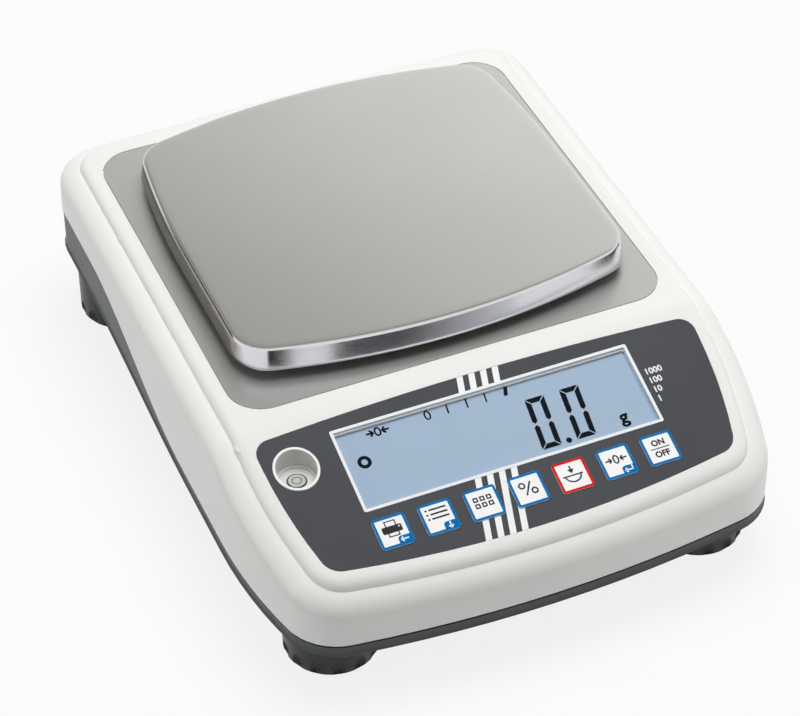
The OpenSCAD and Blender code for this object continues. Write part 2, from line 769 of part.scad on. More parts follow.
module base() {
    shell = [
        ring(band_out + foot_w - bevel_w, function (y) under(y)),
        ring(band_out + foot_w, function (y) under(y) + bevel_h),
        ring(band_out, function (y) under(y) + bevel_h + foot_h),
        ring(band_out, function (y) seam(y) - shadow_gap),
        ring(tongue_out, function (y) seam(y) - shadow_gap),
        ring(tongue_out, function (y) seam(y) + tongue_h),
        ring(tongue_in, function (y) seam(y) + tongue_h),
        ring(tongue_in, function (y) under(y) + base_t)
    ];
    pocket_d = knob_d + 2 * foot_clear;
    color("dimgray") difference() {
        union() {
            loft(shell);
            for (p = feet) {
                pocket = p[1] < 0;
                if (pocket) bore(p, pocket_d + 2 * pocket_wall, under_front_z, seat_z + base_t);
                bore(p, insert_d + 2 * insert_wall, seat_z + base_t / 2, seat_z + stud_l);
            }
            for (p = screw_points)
                bore(p, lower_boss_d, under(p[1]) + base_t / 2, boss_z);
            cell_pad();
            for (p = main_points)
                bore(p, standoff_d, floor_z - base_t / 2, floor_z + main_rise);
            for (p = stop_points)
                bore(p, stop_d + 2 * stop_seat_w, under(p[1]) + base_t / 2, stop_seat_z);
        }
        for (p = feet) {
            bore(p, pocket_d, under_front_z - over, seat_z);
            bore(p, stud_d + 2 * stud_gap, seat_z - over, seat_z + stud_l + over);
            bore(p, insert_d + 2 * thread_play, seat_z + stud_l - insert_h, seat_z + stud_l + over);
        }
        for (p = screw_points) {
            bore(p, screw_head_d + 2 * head_gap, under(p[1]) - over, boss_z - base_t);
            bore(p, screw_d + 2 * hole_play, boss_z - base_t - over, boss_z + over);
        }
        for (p = cell_points(cell_fixed_x)) {
            bore(p, cell_head_d + 2 * head_gap, under_front_z - over, cell_pad_z - base_t);
            bore(p, cell_screw_d + 2 * hole_play, under_front_z, cell_pad_z + over);
        }
        for (p = main_points)
            bore(p, board_screw_d + 2 * thread_play, floor_z, floor_z + main_rise + over);
        lying(-jack_x, jack_d + 2 * rear_gap, groove_back, groove_back + shoulder_w);
        translate([port_x, groove_back, rear_z]) rotate([-90, 0, 0])
            linear_extrude(shoulder_w) port_shape(rear_gap);
        rear_seat(-jack_x, jack_side, jack_side);
        rear_seat(port_x, flange_w, flange_h);
    }
}

module tray_plate() {
    color("silver") translate([0, tray_y, deck_z - tray_t]) linear_extrude(tray_t) difference() {
        rounded(tray_w, tray_d, tray_r);
        circle(d = post_hole_d);
    }
}

module weighing_pan() {
    rim_z = pan_top_z - pan_skirt;
    edge_z = pan_top_z - pan_edge;
    sheet = concat(
        [pan_ring(-pan_t, pan_top_z - pan_t), pan_ring(pan_flare - pan_t, rim_z), pan_ring(pan_flare, rim_z)],
        [for (a = [0:22.5:90]) pan_ring(pan_edge * (cos(a) - 1) + pan_shoulder, edge_z + pan_edge * sin(a))]
    );
    color("silver") loft(sheet);
}

// Carrier under the pan: a post through the tray plate and four arms with round ends
module pan_carrier() {
    arm_z = pan_top_z - pan_t - bumper_h - arm_t;
    color("gainsboro") union() {
        bore([0, tray_y], post_d, bracket_top_z, arm_z + arm_t);
        translate([0, tray_y, arm_z]) linear_extrude(arm_t) {
            circle(d = hub_d);
            for (s = [-1, 1]) {
                reach = norm([bumper_x, bumper_y]);
                rotate(s * atan2(bumper_y, bumper_x)) square([2 * reach, arm_w], center = true);
                for (t = [-1, 1]) translate([t * bumper_x, s * bumper_y]) circle(d = arm_end_d);
            }
        }
    }
}

module pan_bumpers() {
    top = pan_top_z - pan_t;
    color("black") for (x = [-1, 1], y = [-1, 1])
        bore([x * bumper_x, tray_y + y * bumper_y], bumper_d, top - bumper_h, top);
}

// Screw places in one end of the load cell
cell_fixed_x = -(cell_l - cell_end) / 2;
cell_free_x = -cell_fixed_x;
function cell_points(x) = [for (s = [-1, 1]) [x, tray_y + s * cell_screw_pitch / 2]];

// Bending beam with two joined flexure bores
module load_cell() {
    mid_z = cell_z + cell_h / 2;
    slot_h = cell_bore / 3;
    color("lightgray") difference() {
        translate([-cell_l / 2, tray_y - cell_w / 2, cell_z]) cube([cell_l, cell_w, cell_h]);
        for (s = [-1, 1])
            translate([s * cell_bore_pitch / 2, tray_y + cell_w, mid_z])
                rotate([90, 0, 0]) cylinder(d = cell_bore, h = 2 * cell_w);
        translate([-cell_bore_pitch / 2, tray_y - cell_w, mid_z - slot_h / 2])
            cube([cell_bore_pitch, 2 * cell_w, slot_h]);
        for (p = cell_points(cell_fixed_x))
            bore(p, cell_screw_d + 2 * thread_play, cell_z - over, cell_z + cell_screw_depth);
        for (p = cell_points(cell_free_x))
            bore(p, cell_screw_d + 2 * thread_play, cell_top_z - cell_screw_depth, cell_top_z + over);
    }
}

module load_cell_mount() {
    color("darkgray") difference() {
        translate([cell_fixed_x - cell_end / 2, tray_y - cell_w / 2, cell_pad_z])
            cube([cell_end, cell_w, cell_z - cell_pad_z]);
        for (p = cell_points(cell_fixed_x))
            bore(p, cell_screw_d + 2 * hole_play, cell_pad_z - over, cell_z + over);
    }
}

module load_cell_screws() {
    seat = cell_pad_z - base_t;
    length = cell_z + cell_screw_depth - screw_short - seat;
    color("dimgray") for (p = cell_points(cell_fixed_x))
        screw(p, cell_screw_d, cell_head_d, cell_head_h, seat, length);
}

// Bracket on the free end of the load cell, reaching back over it to carry the post
module carrier_bracket() {
    right = cell_l / 2;
    left = -bracket_half_d - stop_d;
    color("gainsboro") difference() {
        union() {
            translate([left, tray_y - bracket_half_d, bracket_z])
                cube([right - left, 2 * bracket_half_d, bracket_t]);
            translate([cell_free_x - cell_end / 2, tray_y - cell_w / 2, cell_top_z])
                cube([cell_end, cell_w, spacer_t + bracket_t / 2]);
        }
        for (p = cell_points(cell_free_x))
            bore(p, cell_screw_d + 2 * hole_play, cell_top_z - over, bracket_top_z + over);
    }
}

module carrier_screws() {
    length = bracket_t + spacer_t + cell_screw_depth - screw_short;
    color("dimgray") for (p = cell_points(cell_free_x))
        hanging_screw(p, cell_screw_d, cell_head_d, cell_head_h, bracket_top_z, length);
}

// Overload stops on their seats under the bracket's edges
stop_y = bracket_half_d - stop_d / 2 - stop_edge;
stop_points = [for (x = [-1, 1], y = [-1, 1]) [x * bracket_half_d, tray_y + y * stop_y]];
module overload_stops() {
    color("goldenrod") for (p = stop_points)
        bore(p, stop_d, stop_seat_z, bracket_z - stop_gap);
}

module front_panel() {
    color("dimgray") difference() {
        panel_slab(0, 0, panel_t);
        window_hole(window_w, window_h);
        panel_openings();
    }
}

module display_window() {
    color("lightblue") panel_block(0, window_v, window_w, window_h, window_r, panel_t - window_t, panel_t);
}

module display_glass() {
    color("lightsteelblue")
        panel_block(0, window_v, glass_w, glass_h, window_r, glass_front, glass_back);
}

module display_holder() {
    color("white") difference() {
        panel_block(0, window_v, holder_w, holder_h, window_r, glass_back, holder_back);
        panel_block(0, window_v, holder_w - 2 * holder_frame, holder_h - 2 * holder_frame, window_r,
            glass_back - over, holder_back - holder_floor);
    }
}

module display_board() {
    color("darkgreen")
        panel_block(0, window_v, display_board_w, holder_h, window_r, holder_back, holder_back + board_t);
}

module keypad_board() {
    color("darkgreen")
        panel_block(0, key_v, keypad_w, key_rim_w, window_r, keypad_front, keypad_front + board_t);
}

module key_switches() {
    color("dimgray") for (i = [0:key_total - 1])
        panel_block(key_x(i), key_v, switch_w, switch_w, window_gap, switch_front, keypad_front);
}

// Square key with a rim behind the deck and a stem over its switch
module key(i) {
    color("white") union() {
        panel_block(key_x(i), key_v, key_size, key_size, key_r, -key_rise, rim_front + key_rim_t / 2);
        panel_block(key_x(i), key_v, key_rim_w, key_rim_w, key_r, rim_front, rim_front + key_rim_t);
        on_panel() translate([key_x(i), -key_v, -stem_back])
            cylinder(d = 2 / 3 * switch_w, h = stem_back - rim_front - key_rim_t / 2);
    }
}

// Upright cup, cut off along the panel, with a stepped floor and a socket under it for the vial
module level_cup() {
    p = [-level_x, level_y];
    inner_d = level_d - 2 * level_wall;
    socket_d = vial_d + 2 * vial_play;
    color("white") difference() {
        union() {
            intersection() {
                bore(p, level_d, level_floor_z - level_wall, deck_z);
                under_panel(level_rise);
            }
            bore(p, socket_d + 2 * level_wall, vial_z - level_wall, level_floor_z - level_wall / 2);
        }
        bore(p, inner_d, level_floor_z + level_step_h, deck_z + over);
        bore(p, inner_d - 2 * level_step_w, level_floor_z, deck_z);
        bore(p, socket_d, vial_z, deck_z);
    }
}

module level_vial() {
    color("palegreen") bore([-level_x, level_y], vial_d, vial_z, vial_z + vial_h);
}

// Main board on four standoffs, with its chips and plug sockets
main_y = -body_d / 2 + main_inset + main_d / 2;
main_points = [
    for (x = [-1, 1], y = [-1, 1])
        [x * (main_w / 2 - board_edge), main_y + y * (main_d / 2 - board_edge)]
];

// Blocks on the main board: place across and along from its middle, width, depth and height
main_blocks = [
    [0, 0, 20, 20, 2],
    [-27, 2, 10, 16, 3],
    [26, 24, 24, 8, 6],
    [-30, 24, 16, 8, 6]
];
module main_board() {
    z = floor_z + main_rise;
    color("darkgreen") difference() {
        union() {
            translate([-main_w / 2, main_y - main_d / 2, z]) cube([main_w, main_d, board_t]);
            for (b = main_blocks)
                translate([b[0] - b[2] / 2, main_y + b[1] - b[3] / 2, z + board_t / 2])
                    cube([b[2], b[3], board_t / 2 + b[4]]);
        }
        for (p = main_points)
            bore(p, board_screw_d + 2 * hole_play, z - over, z + board_t + over);
    }
}

module board_screws() {
    z = floor_z + main_rise + board_t;
    color("silver") for (p = main_points)
        hanging_screw(p, board_screw_d, board_head_d, board_t, z, board_t + main_rise - screw_short);
}

// Power inlet: a block in the back wall's seat with a round nose through the wall
module power_jack() {
    end_y = rear_seat_y - jack_side;
    color("black") {
        difference() {
            union() {
                rear_block(-jack_x, jack_side, jack_side, rear_gap, end_y, rear_seat_y);
                lying(-jack_x, jack_d, rear_seat_y - over, rear_nose_y);
            }
            lying(-jack_x, jack_bore, end_y + jack_end, rear_nose_y + over);
        }
        lying(-jack_x, jack_pin, end_y + jack_end / 2, rear_nose_y - pin_inset);
    }
}

// Outline of the data port's shell, wider at the top
module port_shape(grow) {
    half_w = port_w / 2 + grow;
    half_h = port_h / 2 + grow;
    slant = port_h * tan(port_slant);
    polygon([[-half_w, -half_h], [half_w, -half_h], [half_w - slant, half_h], [slant - half_w, half_h]]);
}

// Data port: flange in the back wall's seat, shell through the wall, nine contacts in two rows
module data_port() {
    contact_pitch = 2.76;
    contact_row = 1.42;
    flange_y = rear_seat_y - flange_t;
    color("silver") difference() {
        union() {
            rear_block(port_x, flange_w, flange_h, rear_gap, flange_y, rear_seat_y);
            rear_block(port_x, port_w, port_h, rear_gap, flange_y - port_body, rear_seat_y - flange_t / 2);
            translate([port_x, flange_y, rear_z]) rotate([-90, 0, 0])
                linear_extrude(rear_nose_y - flange_y) port_shape(0);
        }
        for (row = [-1, 1], i = row < 0 ? [-2:2] : [-1.5:1.5])
            translate([port_x + i * contact_pitch, 0, -row * contact_row])
                lying(0, contact_d, rear_nose_y - contact_depth, rear_nose_y + over);
    }
}

module housing_screws() {
    color("dimgray") for (p = screw_points)
        screw(p, screw_d, screw_head_d, screw_head_h, boss_z - base_t, screw_l);
}

module foot_inserts() {
    color("goldenrod") for (p = feet) difference() {
        bore(p, insert_d, seat_z + stud_l - insert_h, seat_z + stud_l);
        bore(p, stud_d + 2 * stud_play, seat_z, seat_z + stud_l + over);
    }
}

// Knob with finger scoops, a recess for the pad and a stud
module foot_knob(p) {
    low = pad_proud;
    top = low + knob_h;
    scoop_r = knob_d / 2 + scoop_d / 2 - scoop_depth;
    color([0.13, 0.14, 0.16]) translate([p[0], p[1], 0]) union() {
        difference() {
            rotate_extrude() polygon([
                [0, low], [knob_d / 2 - knob_bevel, low], [knob_d / 2, low + knob_bevel],
                [knob_d / 2, top - knob_bevel], [knob_d / 2 - knob_bevel, top], [0, top]
            ]);
            for (i = [0:scoop_count - 1]) rotate(i * 360 / scoop_count)
                translate([scoop_r, 0, low + scoop_h]) sphere(d = scoop_d);
            translate([0, 0, low - over])
                cylinder(d = pad_d + 2 * pad_gap, h = pad_t - pad_proud + pad_play + over);
        }
        translate([0, 0, top - over]) cylinder(d = stud_d, h = seat_z + stud_l - top + over);
    }
}

module foot_pad(p) {
    color([0.08, 0.08, 0.08]) bore(p, pad_d, 0, pad_t);
}

top_housing();
base();
tray_plate();
weighing_pan();
pan_carrier();
pan_bumpers();
load_cell();
load_cell_mount();
load_cell_screws();
carrier_bracket();
carrier_screws();
overload_stops();
front_panel();
display_window();
display_glass();
display_holder();
display_board();
keypad_board();
key_switches();
for (i = [0:key_total - 1])
    key(i);
level_cup();
level_vial();
main_board();
board_screws();
power_jack();
data_port();
housing_screws();
foot_inserts();
foot_knob(feet[0]);  // knob_front_left
foot_knob(feet[1]);  // knob_front_right
foot_knob(feet[2]);  // knob_back_left
foot_knob(feet[3]);  // knob_back_right
foot_pad(feet[0]);  // pad_front_left
foot_pad(feet[1]);  // pad_front_right
foot_pad(feet[2]);  // pad_back_left
foot_pad(feet[3]);  // pad_back_right
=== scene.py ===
"""Looks of the bench balance: finishes, prints, display, weighing pan, light and camera."""

import json
import math

import bmesh
import bpy
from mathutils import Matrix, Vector


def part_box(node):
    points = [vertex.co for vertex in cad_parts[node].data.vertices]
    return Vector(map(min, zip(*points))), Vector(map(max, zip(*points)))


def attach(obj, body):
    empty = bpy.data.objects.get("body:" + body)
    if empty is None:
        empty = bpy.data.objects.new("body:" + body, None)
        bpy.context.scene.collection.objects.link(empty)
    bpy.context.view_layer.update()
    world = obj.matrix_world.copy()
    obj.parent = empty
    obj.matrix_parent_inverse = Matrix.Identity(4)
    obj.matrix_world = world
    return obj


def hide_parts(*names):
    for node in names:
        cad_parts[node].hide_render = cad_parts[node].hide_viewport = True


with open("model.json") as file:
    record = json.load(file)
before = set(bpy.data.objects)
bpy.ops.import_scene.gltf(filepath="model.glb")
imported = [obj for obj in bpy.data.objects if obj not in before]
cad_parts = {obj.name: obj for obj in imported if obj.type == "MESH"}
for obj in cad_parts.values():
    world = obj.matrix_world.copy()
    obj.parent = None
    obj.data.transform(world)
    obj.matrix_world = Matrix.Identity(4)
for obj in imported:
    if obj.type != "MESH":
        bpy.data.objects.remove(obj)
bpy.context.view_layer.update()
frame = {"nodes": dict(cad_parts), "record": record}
NODES = frame["nodes"]
JOINTS = frame["record"]["behaviour"]["joints"]
MM = 0.001
MICRON = 0.000001

# Directions of the sloping panel, taken from the way a key is pressed
PRESS = next(joint["axis"] for joint in JOINTS if joint["name"] == "tare_press")
NORMAL = -Vector(PRESS).normalized()
ACROSS = Vector((1, 0, 0))
UPHILL = NORMAL.cross(ACROSS)


def spans(node, band=math.inf):
    """Lowest and highest place of a node across, uphill and outwards on the panel, down to a depth."""
    places = [(v.co.dot(ACROSS), v.co.dot(UPHILL), v.co.dot(NORMAL)) for v in NODES[node].data.vertices]
    top = max(place[2] for place in places)
    kept = [place for place in places if place[2] > top - band]
    return [(min(values), max(values)) for values in zip(*kept)]


# Places on the panel are given across and down from the bend of the deck
WINDOW = spans("display_window")
WINDOW_MIDDLE = 28.55 * MM
BEND = sum(WINDOW[1]) / 2 + WINDOW_MIDDLE
PANEL_FACE = spans("front_panel")[2][1]
LCD_FACE = spans("display_glass")[2][1]


def place_on(face):
    """Gives places in mm across, down from the bend and out from a face of the panel."""
    def place(x, down, lift):
        return ACROSS * x * MM + UPHILL * (BEND - down * MM) + NORMAL * (face + lift * MM)
    return place


panel_place = place_on(PANEL_FACE)
lcd_place = place_on(LCD_FACE)


def key_place(node):
    """Gives places in mm across, down and out from the middle of a key's face."""
    across, uphill, outwards = spans(node)
    middle = ACROSS * sum(across) / 2 + UPHILL * sum(uphill) / 2 + NORMAL * outwards[1]
    return lambda x, down, lift: middle + (ACROSS * x - UPHILL * down + NORMAL * lift) * MM


def srgb(red, green, blue):
    """Linear colour from the usual values of 0 to 255."""
    def linear(value):
        value = value / 255
        return value / 12.92 if value <= 0.04045 else ((value + 0.055) / 1.055) ** 2.4
    return (linear(red), linear(green), linear(blue), 1.0)


def shaded(colour, share):
    return (colour[0] * share, colour[1] * share, colour[2] * share, 1.0)


def grey(tone):
    return (tone, tone, tone, 1)


# Node helpers
BUMP_STRENGTH = 0.6


def begin(name):
    """A new material, its node tree and its shader."""
    material = bpy.data.materials.new(name)
    material.use_nodes = True
    tree = material.node_tree
    return material, tree, tree.nodes["Principled BSDF"]


def object_places(tree, stretch=(1, 1, 1)):
    where = tree.nodes.new("ShaderNodeTexCoord")
    mapping = tree.nodes.new("ShaderNodeMapping")
    mapping.inputs["Scale"].default_value = stretch
    tree.links.new(where.outputs["Object"], mapping.inputs["Vector"])
    return mapping.outputs["Vector"]


def noise(tree, places, scale=1.0, detail=3):
    texture = tree.nodes.new("ShaderNodeTexNoise")
    texture.inputs["Scale"].default_value = scale
    texture.inputs["Detail"].default_value = detail
    tree.links.new(places, texture.inputs["Vector"])
    return texture.outputs["Fac"]


def ramp(tree, factor, low, high, start=0.3, end=0.7):
    """Colours from low to high along a factor."""
    node = tree.nodes.new("ShaderNodeValToRGB")
    node.color_ramp.elements[0].position = start
    node.color_ramp.elements[0].color = low
    node.color_ramp.elements[1].position = end
    node.color_ramp.elements[1].color = high
    tree.links.new(factor, node.inputs["Fac"])
    return node.outputs["Color"]


def reach(tree, factor, low, high, start=0.3, end=0.7):
    """Numbers from low to high along a factor."""
    node = tree.nodes.new("ShaderNodeMapRange")
    node.inputs["From Min"].default_value = start
    node.inputs["From Max"].default_value = end
    node.inputs["To Min"].default_value = low
    node.inputs["To Max"].default_value = high
    tree.links.new(factor, node.inputs["Value"])
    return node.outputs["Result"]


def math_node(tree, operation, value, other):
    node = tree.nodes.new("ShaderNodeMath")
    node.operation = operation
    tree.links.new(value, node.inputs[0])
    if isinstance(other, (int, float)):
        node.inputs[1].default_value = other
    else:
        tree.links.new(other, node.inputs[1])
    return node.outputs["Value"]


def along(tree, places, way):
    """How far places lie along a way."""
    node = tree.nodes.new("ShaderNodeVectorMath")
    node.operation = "DOT_PRODUCT"
    node.inputs[1].default_value = way
    tree.links.new(places, node.inputs[0])
    return node.outputs["Value"]


def mixed(tree, factor, first, second):
    """Colours from the first to the second along a factor."""
    node = tree.nodes.new("ShaderNodeMix")
    node.data_type = "RGBA"
    colour_in = [socket for socket in node.inputs if socket.type == "RGBA"]
    tree.links.new(factor, node.inputs["Factor"])
    tree.links.new(first, colour_in[0])
    tree.links.new(second, colour_in[1])
    return next(out for out in node.outputs if out.type == "RGBA")


def tint(tree, shader, colour):
    tree.links.new(colour, shader.inputs["Base Color"])


def roughen(tree, shader, factor, rough, spread, start=0.3, end=0.7):
    """Roughness that varies either way by a spread along a factor."""
    varied = reach(tree, factor, rough - spread, rough + spread, start, end)
    tree.links.new(varied, shader.inputs["Roughness"])


def bump(tree, shader, height, depth):
    """Fine relief, its depth in microns."""
    node = tree.nodes.new("ShaderNodeBump")
    node.inputs["Strength"].default_value = BUMP_STRENGTH
    node.inputs["Distance"].default_value = depth * MICRON
    tree.links.new(height, node.inputs["Height"])
    tree.links.new(node.outputs["Normal"], shader.inputs["Normal"])


# Kinds of material
def moulded(name, colour, rough, grain, depth, spread, gloss=0.5):
    """Moulded or rubbery plastic: fine grain and a slow drift of tone."""
    material, tree, shader = begin(name)
    places = object_places(tree)
    drift = noise(tree, places, scale=35)
    fine = noise(tree, places, scale=grain, detail=2)
    tint(tree, shader, ramp(tree, drift, shaded(colour, 1 - spread), colour))
    roughen(tree, shader, fine, rough, spread=0.05)
    bump(tree, shader, fine, depth)
    shader.inputs["Specular IOR Level"].default_value = gloss
    return material


def brushed(name, colour, rough, lines, spread=0.12, depth=8, metal=1.0):
    """Metal with fine parallel lines."""
    material, tree, shader = begin(name)
    streaks = noise(tree, object_places(tree, lines), detail=4)
    drift = noise(tree, object_places(tree), scale=14)
    tint(tree, shader, ramp(tree, streaks, shaded(colour, 1 - spread), colour))
    roughen(tree, shader, drift, rough, spread=0.08, start=0, end=1)
    bump(tree, shader, streaks, depth)
    shader.inputs["Metallic"].default_value = metal
    return material


def printed(name, colour, rough=0.45, gloss=0.3):
    """Printing ink, a little uneven in the film."""
    material, tree, shader = begin(name)
    film_tone = noise(tree, object_places(tree), scale=1500, detail=2)
    tint(tree, shader, ramp(tree, film_tone, shaded(colour, share=0.95), colour))
    roughen(tree, shader, film_tone, rough, spread=0.05)
    shader.inputs["Specular IOR Level"].default_value = gloss
    return material


def polished_skirt(name, colour, painted_reflection_colour, rough):
    """Polished steel, with a painted darker reflection in stripes along the two sides."""
    material, tree, shader = begin(name)
    streaks = noise(tree, object_places(tree, stretch=(300, 300, 2200)), detail=4)
    # Stripes and darker colour on the sides are a painted reflection, chosen by which way the skirt faces
    reflection_stripes = noise(tree, object_places(tree, stretch=(4, 4, 520)), detail=2)
    where = tree.nodes.new("ShaderNodeTexCoord")
    facing = tree.nodes.new("ShaderNodeSeparateXYZ")
    tree.links.new(where.outputs["Normal"], facing.inputs["Vector"])
    sideways = math_node(tree, "MULTIPLY", facing.outputs["X"], facing.outputs["X"])
    painted_reflection_share = ramp(tree, sideways, grey(0), grey(1), start=0.72, end=0.92)
    front = ramp(tree, streaks, shaded(colour, share=0.95), colour)
    side = ramp(tree, reflection_stripes, shaded(painted_reflection_colour, share=0.45), painted_reflection_colour, start=0.4, end=0.6)
    tint(tree, shader, mixed(tree, painted_reflection_share, front, side))
    roughen(tree, shader, streaks, rough, spread=0.03)
    bump(tree, shader, streaks, depth=2)
    shader.inputs["Metallic"].default_value = 1.0
    return material


# Bars printed across the foil: four equal slanting ones
BAR_SLANT = 0.25
BAR_START = -5.85 * MM
BAR_PITCH = 4.9 * MM
BAR_SHARE = 0.52
BAR_COUNT = 4


def bar_mask(tree, places):
    """1 on the bars, 0 beside them."""
    slanted = along(tree, places, ACROSS - UPHILL * BAR_SLANT)
    shifted = math_node(tree, "ADD", slanted, BAR_SLANT * BEND - BAR_START)
    counted = math_node(tree, "DIVIDE", shifted, BAR_PITCH)
    part = math_node(tree, "FRACT", counted, 0)
    in_bar = math_node(tree, "LESS_THAN", part, BAR_SHARE)
    started = math_node(tree, "GREATER_THAN", counted, 0)
    not_ended = math_node(tree, "LESS_THAN", counted, BAR_COUNT)
    group = math_node(tree, "MULTIPLY", started, not_ended)
    return math_node(tree, "MULTIPLY", in_bar, group)


def foil(name):
    """Dark grey foil with a fine grain and the printed bars."""
    material, tree, shader = begin(name)
    places = object_places(tree)
    fine = noise(tree, places, scale=3200, detail=2)
    drift = noise(tree, places, scale=25)
    dark = ramp(tree, drift, srgb(72, 74, 78), srgb(77, 79, 83))
    white = ramp(tree, fine, srgb(244, 245, 246), srgb(252, 252, 252))
    tint(tree, shader, mixed(tree, bar_mask(tree, places), dark, white))
    roughen(tree, shader, fine, rough=0.44, spread=0.06)
    shader.inputs["Specular IOR Level"].default_value = 0.2
    bump(tree, shader, fine, depth=10)
    return material


def clear_pane(name):
    """Clear acrylic: nearly nothing face on, a little haze and gloss at a slant."""
    material, tree, shader = begin(name)
    weight = tree.nodes.new("ShaderNodeLayerWeight")
    weight.inputs["Blend"].default_value = 0.25
    dust = noise(tree, object_places(tree), scale=220)
    seen = reach(tree, weight.outputs["Facing"], low=0.01, high=0.07)
    tree.links.new(seen, shader.inputs["Alpha"])
    roughen(tree, shader, dust, rough=0.055, spread=0.025)
    tint(tree, shader, ramp(tree, dust, srgb(110, 113, 118), srgb(130, 133, 138)))
    return material


# Materials; grain and lines are noise scales, depth is in microns
HOUSING = moulded("warm_white_plastic", srgb(240, 240, 237), rough=0.42, grain=2400, depth=15,
                  spread=0.015)
BASE = moulded("grey_plastic", srgb(74, 80, 80), rough=0.46, grain=1300, depth=40, spread=0.1,
               gloss=0.38)
KNOB = moulded("black_plastic", srgb(24, 26, 29), rough=0.36, grain=1900, depth=20, spread=0.12,
               gloss=0.35)
RUBBER = moulded("black_rubber", srgb(30, 30, 32), rough=0.75, grain=1500, depth=50, spread=0.15)
KEY_WHITE = moulded("white_key_foil", srgb(252, 252, 252), rough=0.4, grain=3200, depth=10, spread=0.01)
LEVEL_WHITE = moulded("white_cup_plastic", srgb(222, 223, 219), rough=0.4, grain=2400, depth=10,
                      spread=0.02)
PLUG = moulded("black_plug_plastic", srgb(40, 40, 42), rough=0.5, grain=1900, depth=30, spread=0.1)
HOLDER = moulded("white_holder_plastic", srgb(225, 225, 222), rough=0.5, grain=1900, depth=20,
                 spread=0.03)
BOARD = moulded("green_board", srgb(30, 96, 60), rough=0.4, grain=900, depth=10, spread=0.2)
LCD = moulded("lcd_polariser", srgb(170, 191, 213), rough=0.4, grain=2600, depth=4, spread=0.015,
              gloss=0.2)
TRAY = brushed("satin_tray_steel", srgb(190, 190, 187), rough=0.34, lines=(60, 3200, 3200),
               spread=0.04, depth=4, metal=0.6)
PAN_TOP = brushed("brushed_pan_steel", srgb(204, 203, 199), rough=0.36, lines=(30, 3200, 3200),
                  spread=0.04, depth=4)
# The second, darker colour is a painted reflection on the sides of the skirt
PAN_SKIRT = polished_skirt("polished_pan_steel", srgb(218, 219, 223), srgb(150, 145, 139), rough=0.16)
PAN_INSIDE = brushed("satin_pan_inside", srgb(228, 228, 226), rough=0.5, lines=(300, 300, 300),
                     spread=0.05, depth=4, metal=0.1)
ALUMINIUM = brushed("milled_aluminium", srgb(196, 198, 201), rough=0.4, lines=(500, 60, 2200))
CARRIER = brushed("cast_aluminium", srgb(170, 172, 175), rough=0.5, lines=(400, 400, 400))
SCREW = brushed("zinc_steel", srgb(180, 182, 184), rough=0.35, lines=(700, 700, 200))
BRASS = brushed("turned_brass", srgb(190, 158, 92), rough=0.35, lines=(200, 200, 2200))
PORT_METAL = brushed("tinned_shell", srgb(190, 192, 194), rough=0.35, lines=(300, 1500, 1500))
FOIL = foil("grey_panel_foil")
PANE = clear_pane("clear_window")
INK_WHITE = printed("white_ink", srgb(246, 247, 248))
FRAME_SIDE = printed("pale_frame_side", srgb(222, 238, 252))
INK_BLUE = printed("blue_ink", srgb(0, 116, 188), gloss=0.1)
INK_RED = printed("red_ink", srgb(220, 18, 18), gloss=0.15)
INK_DARK = printed("dark_ink", srgb(48, 50, 53), gloss=0.15)
LCD_INK = printed("lcd_segment", srgb(10, 16, 26), rough=0.4, gloss=0.05)
LIP_WHITE = printed("white_edge", srgb(252, 252, 252), rough=0.35)
VIAL_LIGHT = printed("vial_fluid", srgb(196, 200, 194), rough=0.12)
VIAL_DARK = printed("vial_ring", srgb(74, 76, 68), rough=0.3)

FINISHES = {
    "housing_white": HOUSING, "base_grey": BASE, "tray_steel": TRAY, "pan_steel": PAN_TOP,
    "panel_foil": FOIL, "window_clear": PANE, "lcd_glass": LCD, "key_white": KEY_WHITE,
    "level_white": LEVEL_WHITE, "vial_clear": VIAL_LIGHT, "knob_black": KNOB, "rubber_black": RUBBER,
    "cell_aluminium": ALUMINIUM, "carrier_aluminium": CARRIER, "screw_steel": SCREW,
    "insert_brass": BRASS, "board_green": BOARD, "holder_white": HOLDER, "plug_black": PLUG,
    "port_metal": PORT_METAL,
}

# CAD pieces keep their shapes and get their finish and smooth shading
WELD_WITHIN = 0.005 * MM
CREASE = math.radians(28)
SOFT_CREASE = math.radians(45)
for node_name, node in NODES.items():
    mesh = node.data
    for slot in node.material_slots:
        slot.material = FINISHES[slot.material.name.split(".")[0]]
    for name in ("custom_normal", "sharp_edge", "sharp_face"):
        if name in mesh.attributes:
            mesh.attributes.remove(mesh.attributes[name])
    mesh.polygons.foreach_set("use_smooth", [True] * len(mesh.polygons))
    weld = node.modifiers.new("weld", "WELD")
    weld.merge_threshold = WELD_WITHIN
    split = node.modifiers.new("split", "EDGE_SPLIT")
    split.split_angle = SOFT_CREASE if node_name == "top_housing" else CREASE
    split.use_edge_sharp = False
    even = node.modifiers.new("even", "WEIGHTED_NORMAL")
    even.keep_sharp = False


# Building blocks for objects
def linked(name, data):
    made = bpy.data.objects.new(name, data)
    bpy.context.scene.collection.objects.link(made)
    return made


def finished_mesh(name, bm, materials):
    mesh = bpy.data.meshes.new(name)
    bm.to_mesh(mesh)
    bm.free()
    for material in materials:
        mesh.materials.append(material)
    return mesh


def piece(name, bm, materials, body, smooth=False):
    """A piece of the object that rides on a body."""
    bmesh.ops.recalc_face_normals(bm, faces=bm.faces)
    mesh = finished_mesh(name, bm, materials)
    mesh.polygons.foreach_set("use_smooth", [smooth] * len(mesh.polygons))
    made = linked(name, mesh)
    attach(made, body)
    return made


def stage_sheet(name, corners, material):
    """A flat sheet of the studio, which is no part of the object."""
    bm = bmesh.new()
    bm.faces.new([bm.verts.new(corner) for corner in corners])
    made = linked(name, finished_mesh(name, bm, [material]))
    return made


# Outlines, in mm
CORNER_STEPS = 5
ROUND_STEPS = 40


def arc(cx, cy, radius, start, end, steps):
    turns = [math.radians(start + (end - start) * i / steps) for i in range(steps + 1)]
    return [(cx + radius * math.cos(a), cy + radius * math.sin(a)) for a in turns]


